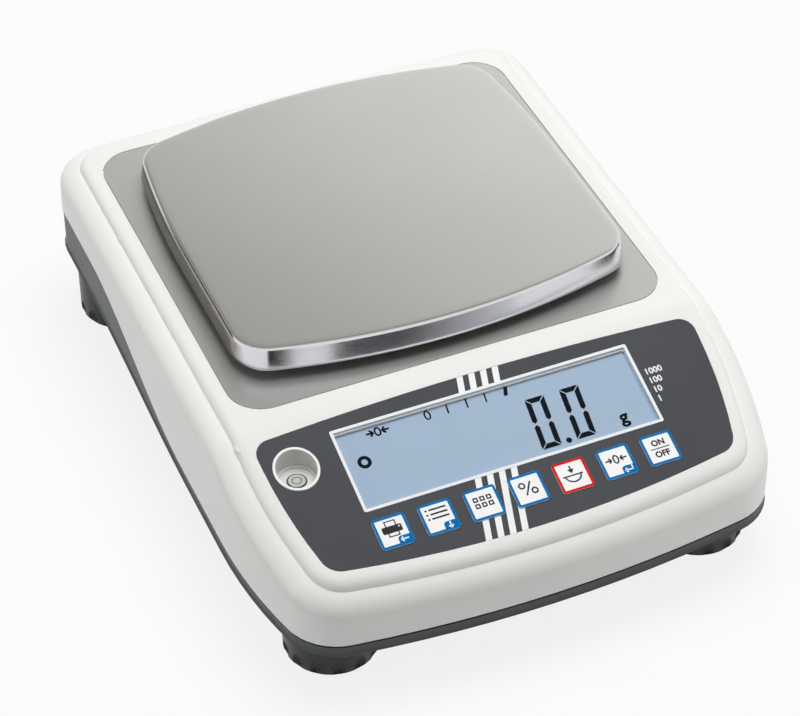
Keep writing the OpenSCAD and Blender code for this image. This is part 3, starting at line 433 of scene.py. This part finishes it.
def box_outline(x0, y0, x1, y1, radius=0.0):
    """A rectangle, its corners rounded."""
    if radius == 0:
        return [(x0, y0), (x1, y0), (x1, y1), (x0, y1)]
    corners = [(x1 - radius, y0 + radius, -90), (x1 - radius, y1 - radius, 0)]
    corners += [(x0 + radius, y1 - radius, 90), (x0 + radius, y0 + radius, 180)]
    points = []
    for cx, cy, start in corners:
        points += arc(cx, cy, radius, start, start + 90, CORNER_STEPS)
    return points


def square(cx, cy, half, radius):
    return box_outline(cx - half, cy - half, cx + half, cy + half, radius)


def oval(cx, cy, half_w, half_h, count=ROUND_STEPS):
    turns = [2 * math.pi * i / count for i in range(count)]
    return [(cx + half_w * math.cos(a), cy + half_h * math.sin(a)) for a in turns]


def circle(cx, cy, radius, count=ROUND_STEPS):
    return oval(cx, cy, radius, radius, count)


# Solids from outlines; place turns across, down and lift into a point, ink is a material's number
INK = 0.03
LETTER_HALF = 0.5
LETTER_STEPS = 3


def prism(bm, points, low, high, place, ink=0):
    """A flat plate with the given outline."""
    bottom = [bm.verts.new(place(x, y, low)) for x, y in points]
    top = [bm.verts.new(place(x, y, high)) for x, y in points]
    faces = [bm.faces.new(top), bm.faces.new(bottom[::-1])]
    for i in range(len(points)):
        faces.append(bm.faces.new((bottom[i - 1], bottom[i], top[i], top[i - 1])))
    for face in faces:
        face.material_index = ink


def band(bm, outer, inner, low, high, place, ink=0):
    """A flat ring between two outlines of as many points."""
    loops = []
    for outline, lift in ((outer, low), (outer, high), (inner, high), (inner, low)):
        loops.append([bm.verts.new(place(x, y, lift)) for x, y in outline])
    for k in range(len(loops)):
        one, two = loops[k - 1], loops[k]
        for i in range(len(outer)):
            bm.faces.new((one[i - 1], one[i], two[i], two[i - 1])).material_index = ink


def skin(bm, loops, inks):
    """A closed solid over a row of loops, an ink for each band; the ends take the first and last ink."""
    bm.faces.new(loops[0]).material_index = inks[0]
    bm.faces.new(loops[-1]).material_index = inks[-1]
    for k in range(1, len(loops)):
        one, two = loops[k - 1], loops[k]
        for i in range(len(one)):
            bm.faces.new((one[i - 1], one[i], two[i], two[i - 1])).material_index = inks[k - 1]


def film(bm, points, place, ink=0, layer=0):
    """A printed shape; layer 1 lies on layer 0."""
    prism(bm, points, layer * INK, (layer + 1) * INK, place, ink)


def film_ring(bm, outer, inner, place, ink=0):
    band(bm, outer, inner, 0, INK, place, ink)


def stroke(bm, start, end, width, place, ink=0, layer=0):
    """A straight line of even width."""
    way = Vector((end[0] - start[0], end[1] - start[1])).normalized()
    side = Vector((-way.y, way.x)) * width / 2
    points = [Vector(start) + side, Vector(start) - side, Vector(end) - side, Vector(end) + side]
    film(bm, [tuple(point) for point in points], place, ink, layer)


def arrow(bm, tail, tip, width, head, place, ink=0, layer=0):
    """A line with an open head, as three strokes."""
    stroke(bm, tail, tip, width, place, ink, layer)
    back = (Vector(tail) - Vector(tip)).normalized()
    side = Vector((-back.y, back.x))
    for way in (1, -1):
        end = Vector(tip) + (back + side * way) * head
        stroke(bm, tip, tuple(end), width, place, ink, layer)


def lettering(bm, text, height, middle, weight, place, ink=0, from_left=False):
    """Words or numbers in Blender's own plain font, as thin solids."""
    curve = bpy.data.curves.new("words", "FONT")
    curve.body = text
    curve.extrude = LETTER_HALF
    curve.offset = weight
    curve.resolution_u = LETTER_STEPS
    holder = bpy.data.objects.new("words", curve)
    mesh = bpy.data.meshes.new_from_object(holder)
    xs = [v.co.x for v in mesh.vertices]
    ys = [v.co.y for v in mesh.vertices]
    scale = height / (max(ys) - min(ys))
    start_x = min(xs) if from_left else (max(xs) + min(xs)) / 2
    mid_y = (max(ys) + min(ys)) / 2
    made = []
    for v in mesh.vertices:
        x = middle[0] + (v.co.x - start_x) * scale
        y = middle[1] - (v.co.y - mid_y) * scale
        made.append(bm.verts.new(place(x, y, (v.co.z + LETTER_HALF) * INK)))
    for polygon in mesh.polygons:
        bm.faces.new([made[i] for i in polygon.vertices]).material_index = ink
    bpy.data.objects.remove(holder)
    bpy.data.curves.remove(curve)
    bpy.data.meshes.remove(mesh)


# Weighing pan: a drawn sheet with a rolled edge and a flared, polished skirt
PAN_W = 163.0
PAN_D = 153.6
PAN_R = 15.0
PAN_BOW = 282.0
PAN_SIDE = 388.0
PAN_T = 1.2
PAN_SKIRT_H = 9.2
PAN_FLARE = 2.3
PAN_SHOULDER = 0.3
PAN_EDGE = 1.8
INSIDE_BEVEL = 1.0
SIDE_FLARE = 1.3
SKIRT_LEAN = 1.2
ROLL_END = 20.0
SIDE_ROLL_END = 8.0
SIDE_START = 0.5
SIDE_BLEND = 0.45
TOP_SHARES = (0.2, 0.45, 0.7, 0.88, 0.97)
BOW_STEPS = 28
TURN_STEPS = 20
SIDE_STEPS = 12
STRAIGHT_STEPS = 8
ROLL_STEPS = 8
SKIRT_STEPS = 8
RIM_STEPS = 6
ROLLED_RINGS = 4
PAN_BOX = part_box("weighing_pan")
PAN_TOP_Z = PAN_BOX[1][2] / MM
PAN_Y = (PAN_BOX[0][1] + PAN_BOX[1][1]) / 2 / MM


def meeting(first, first_r, second, second_r):
    """Where two circles meet, to the right of the line from the first to the second."""
    way = Vector(second) - Vector(first)
    part = (first_r ** 2 - second_r ** 2 + way.length_squared) / (2 * way.length)
    unit = way.normalized()
    return Vector(first) + unit * part + Vector((unit.y, -unit.x)) * math.sqrt(first_r ** 2 - part ** 2)


def pan_outline(grow):
    """Outline in plan: bowed front and back, sides that draw in towards the back."""
    front_x = PAN_W / 2 - PAN_R
    lean = math.degrees(math.asin(front_x / (PAN_BOW - PAN_R)))
    bow_y = PAN_D / 2 - PAN_BOW
    front_y = -bow_y - (PAN_BOW - PAN_R) * math.cos(math.radians(lean))
    side_x = PAN_W / 2 - PAN_SIDE
    corner = meeting((0, bow_y), PAN_BOW - PAN_R, (side_x, 0), PAN_SIDE - PAN_R)
    back_turn = math.degrees(math.atan2(corner.y - bow_y, corner.x))
    side_turn = math.degrees(math.atan2(corner.y, corner.x - side_x))
    right = arc(0, bow_y, PAN_BOW + grow, 90, back_turn, BOW_STEPS)
    right += arc(corner.x, corner.y, PAN_R + grow, back_turn, side_turn, TURN_STEPS)[1:]
    right += arc(side_x, 0, PAN_SIDE + grow, side_turn, 0, SIDE_STEPS)[1:]
    right += [(PAN_W / 2 + grow, front_y * step / STRAIGHT_STEPS) for step in range(1, STRAIGHT_STEPS)]
    right += arc(front_x, front_y, PAN_R + grow, 0, lean - 90, TURN_STEPS)
    right += arc(0, -bow_y, PAN_BOW + grow, lean - 90, -90, BOW_STEPS)[1:]
    return right + [(-x, y) for x, y in right[-2:0:-1]]


def pan_profile(side):
    """Section through the edge as growth, height and share; side is 1 at the sides, 0 at the front."""
    edge_z = PAN_TOP_Z - PAN_EDGE
    rim_r = PAN_T / 2
    rim_z = PAN_TOP_Z - PAN_SKIRT_H + rim_r
    start = PAN_SHOULDER - PAN_EDGE
    roll_end = ROLL_END + (SIDE_ROLL_END - ROLL_END) * side
    lean = SKIRT_LEAN + (1 - SKIRT_LEAN) * side
    flare = PAN_FLARE + (SIDE_FLARE - PAN_FLARE) * side
    section = [(start, PAN_TOP_Z, share) for share in TOP_SHARES]
    section += [(x, z, 1) for x, z in arc(start, edge_z, PAN_EDGE, 90, roll_end, ROLL_STEPS)]
    skirt_x, skirt_z, _ = section[-1]
    for i in range(1, SKIRT_STEPS):
        part = i / SKIRT_STEPS
        out = part * (lean - (lean - 1) * part)
        section.append((skirt_x + (flare - skirt_x) * out, skirt_z + (rim_z - skirt_z) * part, 1))
    section += [(x, z, 1) for x, z in arc(flare - rim_r, rim_z, rim_r, 0, -180, RIM_STEPS)]
    section.append((-PAN_T, PAN_TOP_Z - PAN_T - INSIDE_BEVEL, 1))
    section.append((-PAN_T - INSIDE_BEVEL, PAN_TOP_Z - PAN_T, 1))
    return section


def eased(part):
    """A part from 0 to 1 with a soft start and end."""
    part = min(1, max(0, part))
    return part * part * (3 - 2 * part)


def weighing_pan():
    sections = []
    for (x, y), (out_x, out_y) in zip(pan_outline(0), pan_outline(1)):
        across, ahead = out_x - x, out_y - y
        side = eased((abs(across) - SIDE_START) / SIDE_BLEND)
        sections.append([Vector(((x + across * grow) * share, (y + ahead * grow) * share + PAN_Y, z)) * MM
                         for grow, z, share in pan_profile(side)])
    bm = bmesh.new()
    loops = [[bm.verts.new(point) for point in ring] for ring in zip(*sections)]
    top_bands = len(TOP_SHARES) + ROLLED_RINGS
    skirt_bands = ROLL_STEPS + SKIRT_STEPS + RIM_STEPS - ROLLED_RINGS
    inside_bands = len(loops) - top_bands - skirt_bands
    top, skirt, inside = range(3)
    skin(bm, loops, [top] * top_bands + [skirt] * skirt_bands + [inside] * inside_bands)
    pan = piece("steel_pan", bm, [PAN_TOP, PAN_SKIRT, PAN_INSIDE], "pan", True)
    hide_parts("weighing_pan")


weighing_pan()

# Display window: printed white border, pale side of the opening, clear pane
FRAME_W = 1.2
FRAME_RISE = 0.9
FRAME_R = 0.8
PANE_R = 0.3


def window():
    (x0, x1), (u0, u1), (n0, n1) = WINDOW
    top = (n1 - PANEL_FACE) / MM
    low = (n0 - PANEL_FACE) / MM
    left, right = x0 / MM, x1 / MM
    upper, lower = (BEND - u1) / MM, (BEND - u0) / MM
    opening = box_outline(left, upper, right, lower, FRAME_R)
    outer = box_outline(left, upper - FRAME_RISE, right, lower, FRAME_R)
    inner_top = upper + FRAME_W - FRAME_RISE
    inner = box_outline(left + FRAME_W, inner_top, right - FRAME_W, lower - FRAME_W, PANE_R)
    glass = (LCD_FACE - PANEL_FACE) / MM
    border, pane, frame_side = range(3)
    bm = bmesh.new()
    film_ring(bm, outer, inner, panel_place, border)
    band(bm, opening, inner, glass + INK, 0, panel_place, frame_side)
    prism(bm, inner, low, top - INK, panel_place, pane)
    made = piece("display_cover", bm, [INK_WHITE, PANE, FRAME_SIDE], "housing")
    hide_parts("display_window")


window()

# Marks on the display: digits, unit, small scale and signs
DIGIT_W = 8.0
DIGIT_H = 22.3
DIGIT_LEAN = 0.09
DIGIT_LEFTS = (14.9, 29.4)
DIGIT_TOP = 19.8
SEGMENT = 2.15
SEGMENT_GAP = 0.28
POINT_PLACE = (24.2, 41.3)
POINT_R = 1.15
UNIT_PLACE = (48.3, 40.2)
UNIT_H = 5.8
UNIT_WEIGHT = 0.03
ZERO_X = -43.5
ZERO_DOWN = 14.6
ZERO_ARROWS = ((-48.2, -45.3), (-38.9, -41.8))
ZERO_OUTER = (1.44, 2.0)
ZERO_INNER = (0.725, 1.25)
ZERO_LINE = 0.8
ZERO_HEAD = 1.35
STEADY_PLACE = (-53.1, 25.3)
STEADY_R = 2.7
STEADY_HOLE = 1.25
SCALE_ZERO = (-22.9, 14.0)
SCALE_ZERO_OUTER = (1.386, 2.1)
SCALE_ZERO_INNER = (0.69, 1.5)
SCALE_TICKS = (-14.4, -6.4, 1.4)
SCALE_TOP = 11.5
SCALE_END = 15.9
SCALE_LEAN = 0.4
SCALE_LINE = 0.65
SCALE_LAST = [(9.6, 11.7), (11.2, 11.7), (9.9, 15.6), (8.3, 15.6)]


def zero_ring(bm, middle, outer, inner, place, ink=0):
    """A zero; outer and inner are half its width and half its height."""
    film_ring(bm, oval(*middle, *outer), oval(*middle, *inner), place, ink)


def digit_zero(bm, left, top):
    """Six lit segments of a leaning digit, from its upper left corner."""
    wide, gap = SEGMENT, SEGMENT_GAP
    tip = DIGIT_H / 2 - gap
    shoulder = tip - wide / 2
    across = [(gap, 0), (DIGIT_W - gap, 0), (DIGIT_W - wide - gap, wide), (wide + gap, wide)]
    upper = [(0, gap), (wide, wide + gap), (wide, shoulder), (wide / 2, tip), (0, shoulder)]
    shapes = [across, [(x, DIGIT_H - y) for x, y in across]]
    for side in (upper, [(DIGIT_W - x, y) for x, y in upper]):
        shapes += [side, [(x, DIGIT_H - y) for x, y in side]]
    for shape in shapes:
        film(bm, [(left + x - y * DIGIT_LEAN, top + y) for x, y in shape], lcd_place)


def lcd_marks():
    bm = bmesh.new()
    for left in DIGIT_LEFTS:
        digit_zero(bm, left, DIGIT_TOP)
    film(bm, circle(*POINT_PLACE, POINT_R), lcd_place)
    lettering(bm, "g", UNIT_H, UNIT_PLACE, UNIT_WEIGHT, lcd_place)
    for tail, tip in ZERO_ARROWS:
        arrow(bm, (tail, ZERO_DOWN), (tip, ZERO_DOWN), ZERO_LINE, ZERO_HEAD, lcd_place)
    zero_ring(bm, (ZERO_X, ZERO_DOWN), ZERO_OUTER, ZERO_INNER, lcd_place)
    film_ring(bm, circle(*STEADY_PLACE, STEADY_R), circle(*STEADY_PLACE, STEADY_HOLE), lcd_place)
    zero_ring(bm, SCALE_ZERO, SCALE_ZERO_OUTER, SCALE_ZERO_INNER, lcd_place)
    for x in SCALE_TICKS:
        stroke(bm, (x, SCALE_TOP), (x - SCALE_LEAN, SCALE_END), SCALE_LINE, lcd_place)
    film(bm, SCALE_LAST, lcd_place)
    piece("display_segments", bm, [LCD_INK], "housing")


lcd_marks()

# Plain numbers beside the window
NUMBERS = ("1000", "100", "10", "1")
NUMBERS_LEFT = 64.2
NUMBERS_TOP = 24.2
NUMBERS_PITCH = 4.1
NUMBERS_H = 2.8
NUMBERS_WEIGHT = 0.025


def panel_numbers():
    bm = bmesh.new()
    for row, text in enumerate(NUMBERS):
        start = (NUMBERS_LEFT, NUMBERS_TOP + NUMBERS_PITCH * row)
        lettering(bm, text, NUMBERS_H, start, NUMBERS_WEIGHT, panel_place, from_left=True)
    piece("panel_numbers", bm, [INK_WHITE], "housing")


panel_numbers()

# Keys: printed borders, tabs and plain signs, in mm from the middle of the key
BORDER = 1.0
BORDER_R = 1.0
BORDER_INNER_R = 0.35
EDGE_GAP = 0.02
FACE_BAND = 0.05 * MM
TAB_X = 0.6
TAB_Y = 2.6
TAB_R = 1.2
TAB_NICK = 0.35
TAB_LAP = 0.1
TAB_LINE = 0.55
TAB_HEAD = 0.95
TAB_ARROWS = {
    "left": ((1.5, 0), (-1.5, 0)),
    "down": ((0, -1.35), (0, 1.35)),
    "return": ((1.85, 0.45), (-1.6, 0.45)),
}
RETURN_STEM = ((1.6, -1.4), (1.6, 0.65))
BOWL_STEPS = 16

# Inks of a key's print, as its materials are numbered
EDGE = 0
DARK = 1
WHITE = 2


def key_border(bm, node, place):
    across, uphill, _ = spans(node, FACE_BAND)
    half_x = (across[1] - across[0]) / 2 / MM - EDGE_GAP
    half_y = (uphill[1] - uphill[0]) / 2 / MM - EDGE_GAP
    outer = box_outline(-half_x, -half_y, half_x, half_y, BORDER_R)
    rim = box_outline(BORDER - half_x, BORDER - half_y, half_x - BORDER, half_y - BORDER, BORDER_INNER_R)
    film_ring(bm, outer, rim, place, EDGE)
    return half_x - BORDER, half_y - BORDER


def tab(bm, place, right, lower, kind):
    """A coloured corner with a white arrow."""
    rounding = [(TAB_X, TAB_Y + TAB_R), (TAB_X + TAB_NICK, TAB_Y + TAB_NICK), (TAB_X + TAB_R, TAB_Y)]
    corner = [(right + TAB_LAP, TAB_Y), (right + TAB_LAP, lower + TAB_LAP), (TAB_X, lower + TAB_LAP)]
    film(bm, rounding + corner, place, EDGE)
    mid_x = (TAB_X + right) / 2 + TAB_LAP
    mid_y = (TAB_Y + lower) / 2 + TAB_LAP

    def from_middle(point):
        return (mid_x + point[0], mid_y + point[1])

    if kind == "return":
        start, end = map(from_middle, RETURN_STEM)
        stroke(bm, start, end, TAB_LINE, place, WHITE, layer=1)
    tail, tip = map(from_middle, TAB_ARROWS[kind])
    arrow(bm, tail, tip, TAB_LINE, TAB_HEAD, place, WHITE, layer=1)


def print_sign(bm, place):
    """A printer: its body with a lamp, a sheet above and a sheet below."""
    sheet_above = box_outline(-2.2, -4.6, 2.2, -2.2)
    inside_above = box_outline(-1.75, -4.15, 1.75, -2.2)
    body = box_outline(-3.9, -2.3, 3.9, 0.6, radius=0.5)
    sheet_below = box_outline(-2.2, 0.3, 2.2, 2.2)
    inside_below = box_outline(-1.75, 0.6, 1.75, 1.75)
    lamp = circle(2.9, -1.4, radius=0.35, count=16)
    film_ring(bm, sheet_above, inside_above, place, DARK)
    film(bm, body, place, DARK)
    film_ring(bm, sheet_below, inside_below, place, DARK)
    film(bm, lamp, place, WHITE, layer=1)


def mode_sign(bm, place):
    """A list: three lines, each with a dot before it."""
    half_line = 0.35
    for down in (-3.7, -1.8, 0.1):
        dot = box_outline(-4.2, down - half_line, -3.4, down + half_line)
        line = box_outline(-2.6, down - half_line, 4.2, down + half_line)
        film(bm, dot, place, DARK)
        film(bm, line, place, DARK)


def count_sign(bm, place):
    """Six squares in two rows, as pieces to be counted."""
    for x in (-2.7, 0, 2.7):
        for y in (-2.0, 0.7):
            outer = square(x, y, half=1, radius=0.2)
            inner = square(x, y, half=0.45, radius=0.1)
            film_ring(bm, outer, inner, place, DARK)


def percent_sign(bm, place):
    stroke(bm, start=(-1.6, 2.3), end=(1.6, -3.1), width=0.65, place=place, ink=DARK)
    for x, y in ((-2.1, -1.9), (2.1, 1.1)):
        film_ring(bm, circle(x, y, radius=1.4), circle(x, y, radius=0.76), place, DARK)


def tare_sign(bm, place):
    """A bowl with a rim, and an arrow down into it."""
    half_w, depth = 3.4, 3.0
    inner_w, inner_depth = 2.822, 2.4
    turns = [math.pi * i / BOWL_STEPS for i in range(BOWL_STEPS + 1)]
    bowl = [(half_w * math.cos(a), depth * math.sin(a)) for a in turns]
    hollow = [(inner_w * math.cos(a), inner_depth * math.sin(a)) for a in turns]
    rim = box_outline(-4.1, -0.3, 4.1, 0.25)
    arrow_head = [(-1.3, -2.7), (1.3, -2.7), (0, -0.9)]
    film(bm, bowl + hollow[::-1], place, DARK)
    film(bm, rim, place, DARK)
    stroke(bm, start=(0, -4.1), end=(0, -2.6), width=0.6, place=place, ink=DARK)
    film(bm, arrow_head, place, DARK)


def zero_sign(bm, place):
    """A zero between two arrows."""
    down = -1.0
    tail, tip = 4.4, 1.8
    zero_ring(bm, (0, down), outer=(1.248, 1.95), inner=(0.648, 1.35), place=place, ink=DARK)
    for side in (-1, 1):
        arrow(bm, (tail * side, down), (tip * side, down), width=0.62, head=1.05, place=place, ink=DARK)


def power_sign(bm, place):
    """ON over OFF, with a line between."""
    height, weight = 2.7, 0.04
    lettering(bm, "ON", height, (0, -2.6), weight, place, DARK)
    film(bm, box_outline(-3.9, -0.35, 3.9, 0.05), place, DARK)
    lettering(bm, "OFF", height, (0, 2.3), weight, place, DARK)


SIGNS = {
    "print": (print_sign, "left"), "mode": (mode_sign, "down"), "count": (count_sign, None),
    "percent": (percent_sign, None), "tare": (tare_sign, None), "zero": (zero_sign, "return"),
    "power": (power_sign, None),
}


def key_print(name, sign, tab_kind):
    bm = bmesh.new()
    place = key_place("key_" + name)
    right, lower = key_border(bm, "key_" + name, place)
    sign(bm, place)
    if tab_kind:
        tab(bm, place, right, lower, tab_kind)
    border_ink = INK_RED if name == "tare" else INK_BLUE
    piece(name + "_key_print", bm, [border_ink, INK_DARK, INK_WHITE], name + "_key")


for key_name, (key_sign, key_tab) in SIGNS.items():
    key_print(key_name, key_sign, key_tab)

# Spirit level: white lip, vial with its dark edge and ring
VIAL_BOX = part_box("level_vial")
CUP_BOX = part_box("level_cup")
LIP_STEPS = 64
LIP_GAP = 0.05
LIP_W = 0.9

# The vial's section: its edge goes in from the side and down from the top, its face has radius and lift
VIAL_STEPS = 48
VIAL_EDGE = ((0, 0.35), (0.12, 0.12), (0.5, 0), (0.56, 0.1))
VIAL_FACE = ((2.2, -0.06), (1.95, 0.05), (1.65, 0.05), (1.45, -0.05), (0.4, -0.03))
FLUID = 0
MARK = 1
VIAL_INKS = [MARK] * 3 + [FLUID] * 3 + [MARK] + [FLUID] * 3


def round_sizes(box):
    """Middle, radius, lowest and highest place of an upright round piece, in mm."""
    low, high = [[value / MM for value in corner] for corner in box]
    middle = ((low[0] + high[0]) / 2, (low[1] + high[1]) / 2)
    return middle, (high[0] - low[0]) / 2, low[2], high[2]


def vial():
    """A turned glass with a dark edge; a dark ring lies in its dished face."""
    middle, radius, low, top = round_sizes(VIAL_BOX)
    profile = [(radius, low)]
    profile += [(radius - inwards, top - drop) for inwards, drop in VIAL_EDGE]
    profile += [(face_r, top + lift) for face_r, lift in VIAL_FACE]
    bm = bmesh.new()
    loops = []
    for loop_r, z in profile:
        outline = circle(*middle, loop_r, VIAL_STEPS)
        loops.append([bm.verts.new(Vector((x, y, z)) * MM) for x, y in outline])
    skin(bm, loops, VIAL_INKS)
    made = piece("level_glass", bm, [VIAL_LIGHT, VIAL_DARK], "housing")
    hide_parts("level_vial")


vial()


def level_lip():
    """The bright edge of the cup, on its sloping top."""
    middle, radius, _, _ = round_sizes(CUP_BOX)
    outer = circle(*middle, radius - LIP_GAP, LIP_STEPS)
    inner = circle(*middle, radius - LIP_GAP - LIP_W, LIP_STEPS)
    edge = spans("level_cup")[2][1] / MM

    def edge_place(x, y, lift):
        return Vector((x, y, (edge - NORMAL.y * y) / NORMAL.z + lift)) * MM

    bm = bmesh.new()
    film_ring(bm, outer, inner, edge_place)
    piece("level_edge", bm, [LIP_WHITE], "housing")


level_lip()

# Camera as in the photograph, aimed beside and below the middle of the tray plate
AZIMUTH = math.radians(-23.38)
ELEVATION = math.radians(42.43)
DISTANCE = 1.139
LENS = 127.17
SENSOR = 36.0
NEAREST = 0.01
AIM_RIGHT = 0.0104
AIM_DOWN = 0.0542
BACKWARDS = Vector((math.sin(AZIMUTH) * math.cos(ELEVATION), -math.cos(AZIMUTH) * math.cos(ELEVATION),
                    math.sin(ELEVATION)))
RIGHT = Vector((math.cos(AZIMUTH), math.sin(AZIMUTH), 0))
UP = BACKWARDS.cross(RIGHT)
TRAY_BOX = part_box("tray_plate")


def top_middle(box):
    low, high = box
    return Vector(((low[0] + high[0]) / 2, (low[1] + high[1]) / 2, high[2]))


def photo_camera():
    data = bpy.data.cameras.new("camera")
    data.sensor_width = SENSOR
    data.lens = LENS
    data.clip_start = NEAREST
    camera = linked("camera", data)
    camera.location = top_middle(TRAY_BOX) + RIGHT * AIM_RIGHT - UP * AIM_DOWN + BACKWARDS * DISTANCE
    camera.rotation_euler = BACKWARDS.to_track_quat("Z", "Y").to_euler()
    bpy.context.scene.camera = camera


photo_camera()


# Light: a large soft lamp overhead, weak ones at the left and low at the front right, a pale room
def soft_lamp(name, place, aim, size, power):
    data = bpy.data.lights.new(name, "AREA")
    data.shape = "RECTANGLE"
    data.size = size[0]
    data.size_y = size[1]
    data.energy = power
    lamp = linked(name, data)
    lamp.location = place
    lamp.visible_glossy = False
    lamp.rotation_euler = (Vector(place) - Vector(aim)).to_track_quat("Z", "Y").to_euler()


soft_lamp("key_lamp", place=(0.17, 0.12, 1.3), aim=(0, 0, 0.07), size=(0.8, 0.8), power=13.8)
soft_lamp("left_lamp", place=(-1.2, 0.25, 0.5), aim=(0, 0, 0.05), size=(0.6, 0.6), power=2.6)
soft_lamp("right_lamp", place=(0.54, -0.38, 0.09), aim=(0.1, -0.12, 0.04), size=(0.25, 0.12), power=0.48)

AMBIENT = 0.2
BACKDROP = 1
FLOOR_HALF = 3.0
FLOOR_GLOW = 0.85


def seen_directly(tree):
    """1 for what the camera, a mirror or glass sees, 0 for light on the object."""
    path = tree.nodes.new("ShaderNodeLightPath")
    either = math_node(tree, "MAXIMUM", path.outputs["Is Camera Ray"], path.outputs["Is Glossy Ray"])
    return math_node(tree, "MAXIMUM", either, path.outputs["Is Transmission Ray"])


def chosen(tree, factor, first, second, output):
    """Sends the first shader to the output, or the second where the factor is 1."""
    mix = tree.nodes.new("ShaderNodeMixShader")
    tree.links.new(factor, mix.inputs["Fac"])
    tree.links.new(first, mix.inputs[1])
    tree.links.new(second, mix.inputs[2])
    tree.links.new(mix.outputs["Shader"], tree.nodes[output].inputs["Surface"])


def room():
    world = bpy.data.worlds.new("room")
    bpy.context.scene.world = world
    world.use_nodes = True
    tree = world.node_tree
    light = tree.nodes["Background"]
    light.inputs["Color"].default_value = grey(AMBIENT)
    backdrop = tree.nodes.new("ShaderNodeBackground")
    backdrop.inputs["Color"].default_value = grey(BACKDROP)
    chosen(tree, seen_directly(tree), light.outputs["Background"], backdrop.outputs["Background"],
           "World Output")


room()


def floor():
    material, tree, shader = begin("pale_floor")
    shader.inputs["Roughness"].default_value = 1.0
    shader.inputs["Specular IOR Level"].default_value = 0.0
    speckle = noise(tree, object_places(tree), scale=30)
    tint(tree, shader, ramp(tree, speckle, srgb(234, 234, 234), srgb(238, 238, 238)))
    glow = tree.nodes.new("ShaderNodeEmission")
    share = math_node(tree, "MULTIPLY", seen_directly(tree), FLOOR_GLOW)
    chosen(tree, share, shader.outputs["BSDF"], glow.outputs["Emission"], "Material Output")
    corners = box_outline(-FLOOR_HALF, -FLOOR_HALF, FLOOR_HALF, FLOOR_HALF)
    stage_sheet("floor", [(x, y, 0) for x, y in corners], material)


floor()


# Studio cards that only mirrors show: one that fades over the pan, darker ones in front and at the sides
def card(name, corners, dark, light, start=(0, 0, 0), end=(0, 0, 1)):
    """A plain card; its tone runs along the given line from dark to light."""
    material, tree, _ = begin(name + "_paper")
    way = Vector(end) - Vector(start)
    run = along(tree, object_places(tree), way / way.length_squared)
    part = math_node(tree, "SUBTRACT", run, Vector(start).dot(way) / way.length_squared)
    glow = tree.nodes.new("ShaderNodeEmission")
    tree.links.new(ramp(tree, part, grey(dark), grey(light), start=0, end=1), glow.inputs["Color"])
    tree.links.new(glow.outputs["Emission"], tree.nodes["Material Output"].inputs["Surface"])
    made = stage_sheet(name, corners, material)
    made.visible_camera = False
    made.visible_diffuse = False
    made.visible_shadow = False
    made.visible_transmission = False


def upright(heading, width, distance, height):
    """Corners of a card that stands before the pan, its heading in degrees from straight ahead."""
    turn = math.radians(heading)
    out = Vector((math.sin(turn), -math.cos(turn), 0))
    side = Vector((math.cos(turn), math.sin(turn), 0)) * width / 2
    foot = Vector((0, PAN_Y * MM - PAN_D / 2 * MM, 0)) + out * distance
    rise = Vector((0, 0, height))
    return [foot - side, foot + side, foot + side + rise, foot - side + rise]


# The pan's card hangs where the camera sees it mirrored in the pan
CARD_DISTANCE = 0.5
CARD_HALF = 0.6
FADE = Vector((0.658, 0.362, -0.658))
FADE_BEFORE = 0.153
FADE_AFTER = 0.138
MIRRORED = Vector((-BACKWARDS.x, -BACKWARDS.y, BACKWARDS.z))
CARD_MIDDLE = Vector((0, PAN_Y, PAN_TOP_Z)) * MM + MIRRORED * CARD_DISTANCE
CARD_SIDE = Vector((0, 0, 1)).cross(MIRRORED).normalized() * CARD_HALF
CARD_UP = MIRRORED.cross(CARD_SIDE.normalized()) * CARD_HALF
PAN_CARD = [CARD_MIDDLE + CARD_SIDE * x + CARD_UP * y for x, y in box_outline(-1, -1, 1, 1)]
SIDE_CARD_H = 0.65
SIDE_CARD_X = -0.42
SIDE_CARD = [(SIDE_CARD_X, 0.18, 0), (SIDE_CARD_X, 0.42, 0),
             (SIDE_CARD_X, 0.72, SIDE_CARD_H), (SIDE_CARD_X, 0.42, SIDE_CARD_H)]
card("pan_card", PAN_CARD, dark=0.25, light=1.3,
     start=CARD_MIDDLE - FADE * FADE_BEFORE, end=CARD_MIDDLE + FADE * FADE_AFTER)
card("front_card", upright(heading=11, width=0.185, distance=0.205, height=0.12), dark=0.09, light=0.75,
     start=(0.02, 0, 0), end=(0.135, 0, 0))
card("left_card", upright(heading=-32, width=0.07, distance=0.235, height=0.2), dark=0.02, light=0.04)
card("right_card", upright(heading=75, width=0.3, distance=0.35, height=0.12), dark=0.1, light=0.12)
card("side_card", SIDE_CARD, dark=0.05, light=0.1, end=(0, 0, SIDE_CARD_H))

bpy.context.scene.view_settings.view_transform = "Standard"
